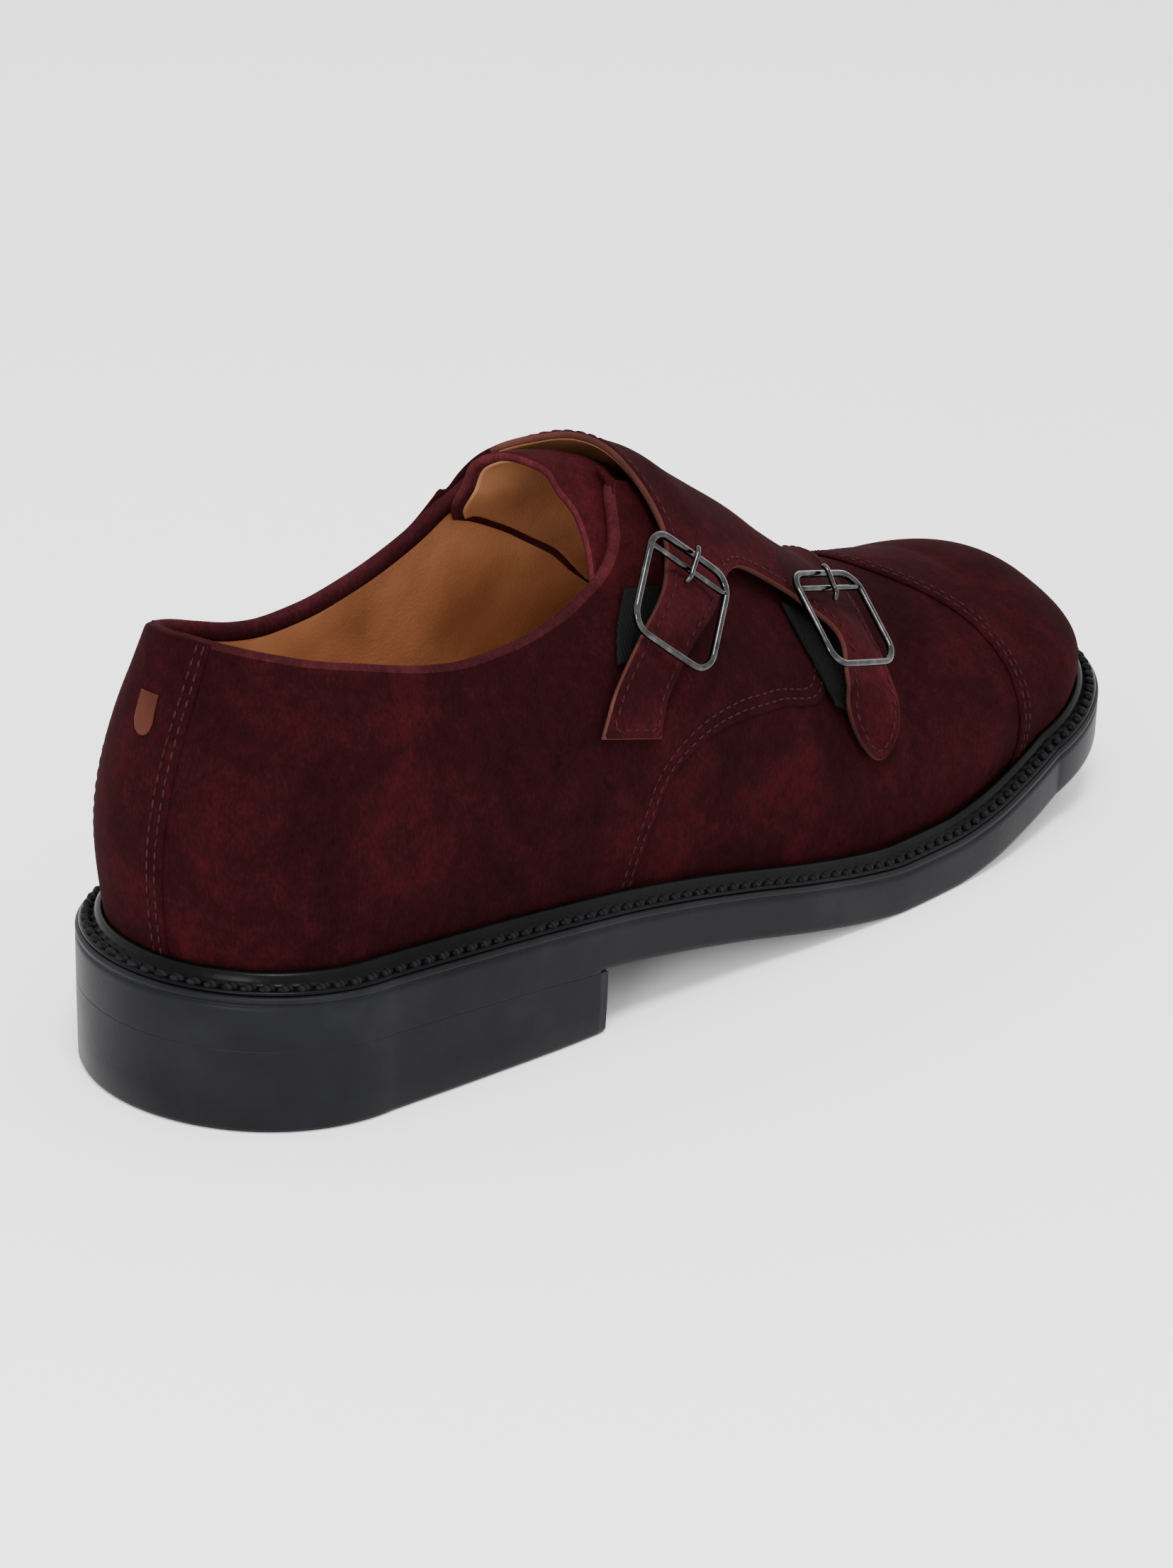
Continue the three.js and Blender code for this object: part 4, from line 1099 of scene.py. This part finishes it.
# ---- repeats by Geometry Nodes
def stitch_tree():
    """Stitches laid end to end along a line: each an oval, flattened on the surface.

    The line is a chain of edges whose points carry "up", the surface's direction.
    """
    tree = bpy.data.node_groups.new("stitch_row", "GeometryNodeTree")
    for name, kind in (("Geometry", "Geometry"), ("Pitch", "Float"), ("Length", "Float"),
                       ("Width", "Float"), ("Height", "Float"), ("Slant", "Float"),
                       ("Thread", "Material")):
        tree.interface.new_socket(name, in_out="INPUT", socket_type=f"NodeSocket{kind}")
    tree.interface.new_socket("Geometry", in_out="OUTPUT", socket_type="NodeSocketGeometry")
    inputs = add(tree, "NodeGroupInput").outputs
    line = add(tree, "GeometryNodeMeshToCurve", {"Mesh": inputs["Geometry"]})
    even = add(tree, "GeometryNodeResampleCurve",
               {"Curve": line.outputs[0], "Length": inputs["Pitch"]}, mode="LENGTH")
    up = add(tree, "GeometryNodeInputNamedAttribute", {"Name": "up"}, data_type="FLOAT_VECTOR")
    along = add(tree, "GeometryNodeInputTangent")
    stand = add(tree, "FunctionNodeAlignRotationToVector", {"Vector": up.outputs[0]}, axis="Z")
    turn = add(tree, "FunctionNodeAlignRotationToVector",
               {"Rotation": stand.outputs[0], "Vector": along.outputs[0]},
               axis="X", pivot_axis="Z")
    ball = add(tree, "GeometryNodeMeshUVSphere", {"Segments": 8, "Rings": 5, "Radius": 0.5})
    size = add(tree, "ShaderNodeCombineXYZ",
               {"X": inputs["Length"], "Y": inputs["Width"], "Z": inputs["Height"]})
    slant = add(tree, "ShaderNodeCombineXYZ", {"Z": inputs["Slant"]})
    sized = add(tree, "GeometryNodeTransform",
                {"Geometry": ball.outputs["Mesh"], "Scale": size.outputs[0]})
    turned = add(tree, "GeometryNodeTransform",
                 {"Geometry": sized.outputs[0], "Rotation": slant.outputs[0]})
    laid = add(tree, "GeometryNodeInstanceOnPoints",
               {"Points": even.outputs[0], "Instance": turned.outputs[0],
                "Rotation": turn.outputs[0]})
    real = add(tree, "GeometryNodeRealizeInstances", {"Geometry": laid.outputs[0]})
    shade = add(tree, "GeometryNodeSetShadeSmooth", {"Geometry": real.outputs[0]})
    finish = add(tree, "GeometryNodeSetMaterial",
                 {"Geometry": shade.outputs[0], "Material": inputs["Thread"]})
    add(tree, "NodeGroupOutput", {"Geometry": finish.outputs[0]})
    return tree


STITCH_ROW = stitch_tree()
SEWING_STEP = 0.8


def stitches(name, lines, thread, **sizes):
    """Rows of stitches along (points, ups) lines in last space, as one plain mesh.

    sizes gives the tree's inputs in metres, and Slant in radians.
    """
    verts, edges, ups = [], [], []
    for points, up in lines:
        start = len(verts)
        verts.extend(tuple(p) for p in put(points))
        ups.extend(np.asarray(up, float).ravel())
        edges.extend((start + k, start + k + 1) for k in range(len(points) - 1))
    mesh = bpy.data.meshes.new(name)
    mesh.from_pydata(verts, edges, [])
    mesh.attributes.new("up", "FLOAT_VECTOR", "POINT").data.foreach_set("vector", ups)
    line = bpy.data.objects.new(name, mesh)
    bpy.context.scene.collection.objects.link(line)
    rows = line.modifiers.new("rows", "NODES")
    rows.node_group = STITCH_ROW
    keys = {s.name: s.identifier for s in STITCH_ROW.interface.items_tree
            if s.item_type == "SOCKET" and s.in_out == "INPUT"}
    rows[keys["Thread"]] = thread
    for size, value in sizes.items():
        rows[keys[size]] = value
    bpy.context.view_layer.update()
    drawn = line.evaluated_get(bpy.context.evaluated_depsgraph_get())
    plain = bpy.data.meshes.new_from_object(drawn)
    line.modifiers.remove(rows)
    line.data = plain
    plain.name = name
    if not plain.materials:
        plain.materials.append(thread)
    return line


def part_of(flat, start, end):
    """A run of a smooth line, by lengths from its two ends."""
    p = through(flat, SEWING_STEP)
    return p[int(start / SEWING_STEP):len(p) - int(end / SEWING_STEP)]


def sewn(chart, p, off):
    """Points and upward directions of a sewing line at heights over the last."""
    out = normals_of(chart, p[:, 0], p[:, 1])
    return chart(p[:, 0], p[:, 1]) + out * off, out


def seam_line(chart, flat, start, end, off):
    """A sewing line on an even piece."""
    return sewn(chart, through(part_of(flat, start, end), SEWING_STEP), off)


def strap_seam(flat, start=0.0, end=0.0):
    """A sewing line on the medial quarter, which stands off the last as its straps do."""
    p = part_of(flat, start, end)
    off = (STRAP_LIFT(p[:, 1]) + STRAP_THICK(p[:, 1]) + 0.05
           + soft_form(CREASES_MED + SWELLS, *p.T))
    return sewn(on_last, p, off[:, None])


# each row lies on its leather's outer face, which is so high over the last
QUARTER_FACE, CAP_FACE, STRIP_FACE = 0.28, 0.32, 0.85
SEAM = dict(Pitch=0.0026, Length=0.0021, Width=0.00055, Height=0.0004)
rows = []
# front edges of the quarters, the toe cap and the heel strip: two rows each
for d in (1.6, 3.6):
    rows.append(seam_line(on_last, beside(through(FRONT_LAT), -d), 6, 2, QUARTER_FACE))
    rows.append(strap_seam(beside(through(FRONT_MED), d), 3, 2))
    rows.append(seam_line(chart_toe, beside(through(CAP_EDGE), -d), 2, 2, CAP_FACE))
for d in (1.5, 3.4):
    for side in (-1, 1):
        rows.append(seam_line(chart_heel, strip_line(side, -d), 2.2, 2, STRIP_FACE))
seam_stitches = stitches("seam_stitches", rows, THREAD, **SEAM)

# one row round the flap and its straps, in runs that stop short of the sharp corners
inner = inset(flap_outline, 1.9)
inner = inner[to_outline(inner, flap_outline)[0] > 1.7]
inner = inner[(inner[:, 1] < 14) & ~((inner[:, 0] > 200) & (inner[:, 1] > 11))]
jumps = np.nonzero(np.linalg.norm(np.diff(inner, axis=0), axis=1) > 4)[0] + 1
strap_stitches = stitches(
    "strap_stitches", [strap_seam(run) for run in np.split(inner, jumps) if len(run) > 8],
    STRAP_THREAD, **SEAM)

welt_line = welt_loop(4.75, 1.15)
welt_line = np.vstack([welt_line, welt_line[:1]])
welt_stitches = stitches(
    "welt_stitches", [(welt_line, np.tile((0.0, 0.0, 1.0), (len(welt_line), 1)))], WELT_THREAD,
    Pitch=0.0036, Length=0.0036, Width=0.0021, Height=0.0018, Slant=0.35)

# ---- buckles
HALF_W, HALF_H, FRAME_CORNER = 11.8, 11.2, 4.5
ROD, BAR, PRONG = 0.8, 0.65, 0.6        # wire radii
FRAME_TOP, FRAME_BOW = 0.25, 0.004      # wire's height, and how it bows down with the foot
BAR_V = 3.8 - HALF_H
# middle, across and down of each frame
SEATS = {"rear": ((122.8, -35, 84), (0.760, -0.244, -0.602), (-0.649, -0.328, -0.687)),
         "front": ((179.5, -34.2, 66.3), (0.974, 0.032, -0.225), (-0.137, -0.708, -0.693))}


def height_at(v):
    """A frame's height over its seat, so far down from its middle."""
    return FRAME_TOP - FRAME_BOW * v * v


metal = {}
for name, place in SEATS.items():
    centre, across, down = (np.array(v, float) for v in place)
    out = np.cross(down, across)

    def seat(u, v, w):
        return centre + across * u + down * v + out * w
    loop = []
    for cu, cv, start in ((1, 1, 0), (-1, 1, 90), (-1, -1, 180), (1, -1, 270)):
        for a in np.radians(start + np.linspace(0, 90, 9)):
            v = cv * (HALF_H - FRAME_CORNER) + FRAME_CORNER * math.sin(a)
            loop.append(seat(cu * (HALF_W - FRAME_CORNER) + FRAME_CORNER * math.cos(a), v,
                             height_at(v)))
    wire = sweep(f"buckle_{name}", tube(through(loop, 0.9, closed=True), ROD, closed=True),
                 NICKEL)
    bar_up = height_at(BAR_V)
    bar_path = [seat(u, BAR_V, bar_up) for u in np.linspace(-HALF_W, HALF_W, 12)]
    bar = sweep(f"bar_{name}", tube(bar_path, BAR, ends=False), NICKEL, closed=False, caps=True)
    metal[f"buckle_{name}"] = join(f"buckle_{name}", [wire, bar])
    # the prong curls round the bar and rests on the frame's far side
    over = FRAME_TOP + ROD + PRONG + 0.1
    path = through([seat(0, v, w) for v, w in (
        (BAR_V + 2.7, bar_up + 0.2), (BAR_V + 1.6, bar_up + BAR + 0.5),
        (BAR_V, bar_up + BAR + PRONG + 0.05), (-HALF_H, over), (-HALF_H - 0.9, over - 0.3))],
        0.4)
    metal[f"prong_{name}"] = sweep(f"prong_{name}", tube(path, PRONG, sides=10), NICKEL,
                                   closed=False, caps=True)

# bare patch on the heel strip: straight on top, round below
PATCH_TOP_Z = 84.2
crest = outline_of([(-1.2, 0), (-1.2, 5.6)],
                   [(-1.2, 5.6), (-0.3, 7.6), (1.6, 8.4), (3.5, 7.6), (4.4, 5.6)],
                   [(4.4, 5.6), (4.4, 0)], [(4.4, 0), (-1.2, 0)])
crest[:, 1] += girth_at(BACK, -1, PATCH_TOP_Z)
heel_patch = leather("heel_patch", crest, chart_heel, 0.75, 0.45, [PATCH] * 3, spacing=1.0,
                     round_over=0.4)

# ---- riding and standing in for the CAD nodes
STANDS_FOR = {"upper": quarter, "tongue": tongue, "strap_flap": flap, "outsole": outsole,
              "heel": heel, "welt": welt, "insole": insole, "buckle_tab_rear": tabs[0],
              "buckle_tab_front": tabs[1], **metal}
for node, piece in STANDS_FOR.items():
    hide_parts(node)
for slot, pieces in {
        "suede": [quarter, vamp, cap, flap, strip, collar_rim, tongue, seam_stitches,
                  strap_stitches, heel_patch],
        "lining": [lining, tongue_lining, insole], "rubber": [outsole, heel],
        "welt": [welt, welt_stitches], "elastic": tabs, "nickel": metal.values()}.items():
    for piece in pieces:
        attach(piece, "root")

# ---- floor, light and camera
world = bpy.data.worlds.new("studio")
bpy.context.scene.world = world
world.use_nodes = True
sky = world.node_tree.nodes["Background"].inputs
sky["Color"].default_value = colour("#ffffff")
sky["Strength"].default_value = 2.05

FLOOR = 6   # half its side, in metres
corners = [(-FLOOR, -FLOOR, 0), (FLOOR, -FLOOR, 0), (FLOOR, FLOOR, 0), (-FLOOR, FLOOR, 0)]
floor_mesh = bpy.data.meshes.new("floor")
floor_mesh.from_pydata(corners, [], [(0, 1, 2, 3)])
floor = bpy.data.objects.new("floor", floor_mesh)
bpy.context.scene.collection.objects.link(floor)
floor_mesh.materials.append(
    shader("paper_white_matt", Base_Color=colour("#fafafa"), Roughness=0.9)[0])


def lamp(name, place, aim, size, power):
    """A round soft light, in metres and watts."""
    light = bpy.data.lights.new(name, "AREA")
    light.shape = "DISK"
    light.size = size
    light.energy = power
    made = bpy.data.objects.new(name, light)
    made.location = place
    made.rotation_euler = (Vector(aim) - Vector(place)).to_track_quat("-Z", "Y").to_euler()
    bpy.context.scene.collection.objects.link(made)


lamp("key", (-0.5, -0.5, 1.6), (0.0, 0.0, 0.05), 0.5, 30)
lamp("rear_fill", (-1.4, -0.55, 0.42), (-0.1, 0.0, 0.04), 0.5, 14)

# the camera: its place in metres, its three directions, and its lens for this view's size
VIEW_PLACE = (-0.45338 - ORIGIN[0] / 1000, -0.50358 - ORIGIN[1] / 1000, 0.33961)
VIEW_RIGHT = Vector((0.68516, -0.72828, 0.01286))
VIEW_UP = Vector((0.26351, 0.26429, 0.92775))
VIEW_WAY = Vector((0.67906, 0.63227, -0.37298))
VIEW_W, VIEW_H = 1655, 2212
FOCAL = 4004.3
CLOSER = 1.35
CENTRE_X, CENTRE_Y = 985, 1100
SENSOR = 36
eye = bpy.data.cameras.new("view")
eye.sensor_width = SENSOR
eye.lens = FOCAL * CLOSER * SENSOR / VIEW_H
eye.shift_x = (CENTRE_X - VIEW_W / 2) * CLOSER / VIEW_H
eye.shift_y = -(CENTRE_Y - VIEW_H / 2) * CLOSER / VIEW_H
eye.clip_start, eye.clip_end = 0.05, 20
camera = bpy.data.objects.new("view", eye)
camera.matrix_world = Matrix.Translation(VIEW_PLACE) @ Matrix(
    (VIEW_RIGHT, VIEW_UP, -VIEW_WAY)).transposed().to_4x4()
bpy.context.scene.collection.objects.link(camera)
bpy.context.scene.camera = camera
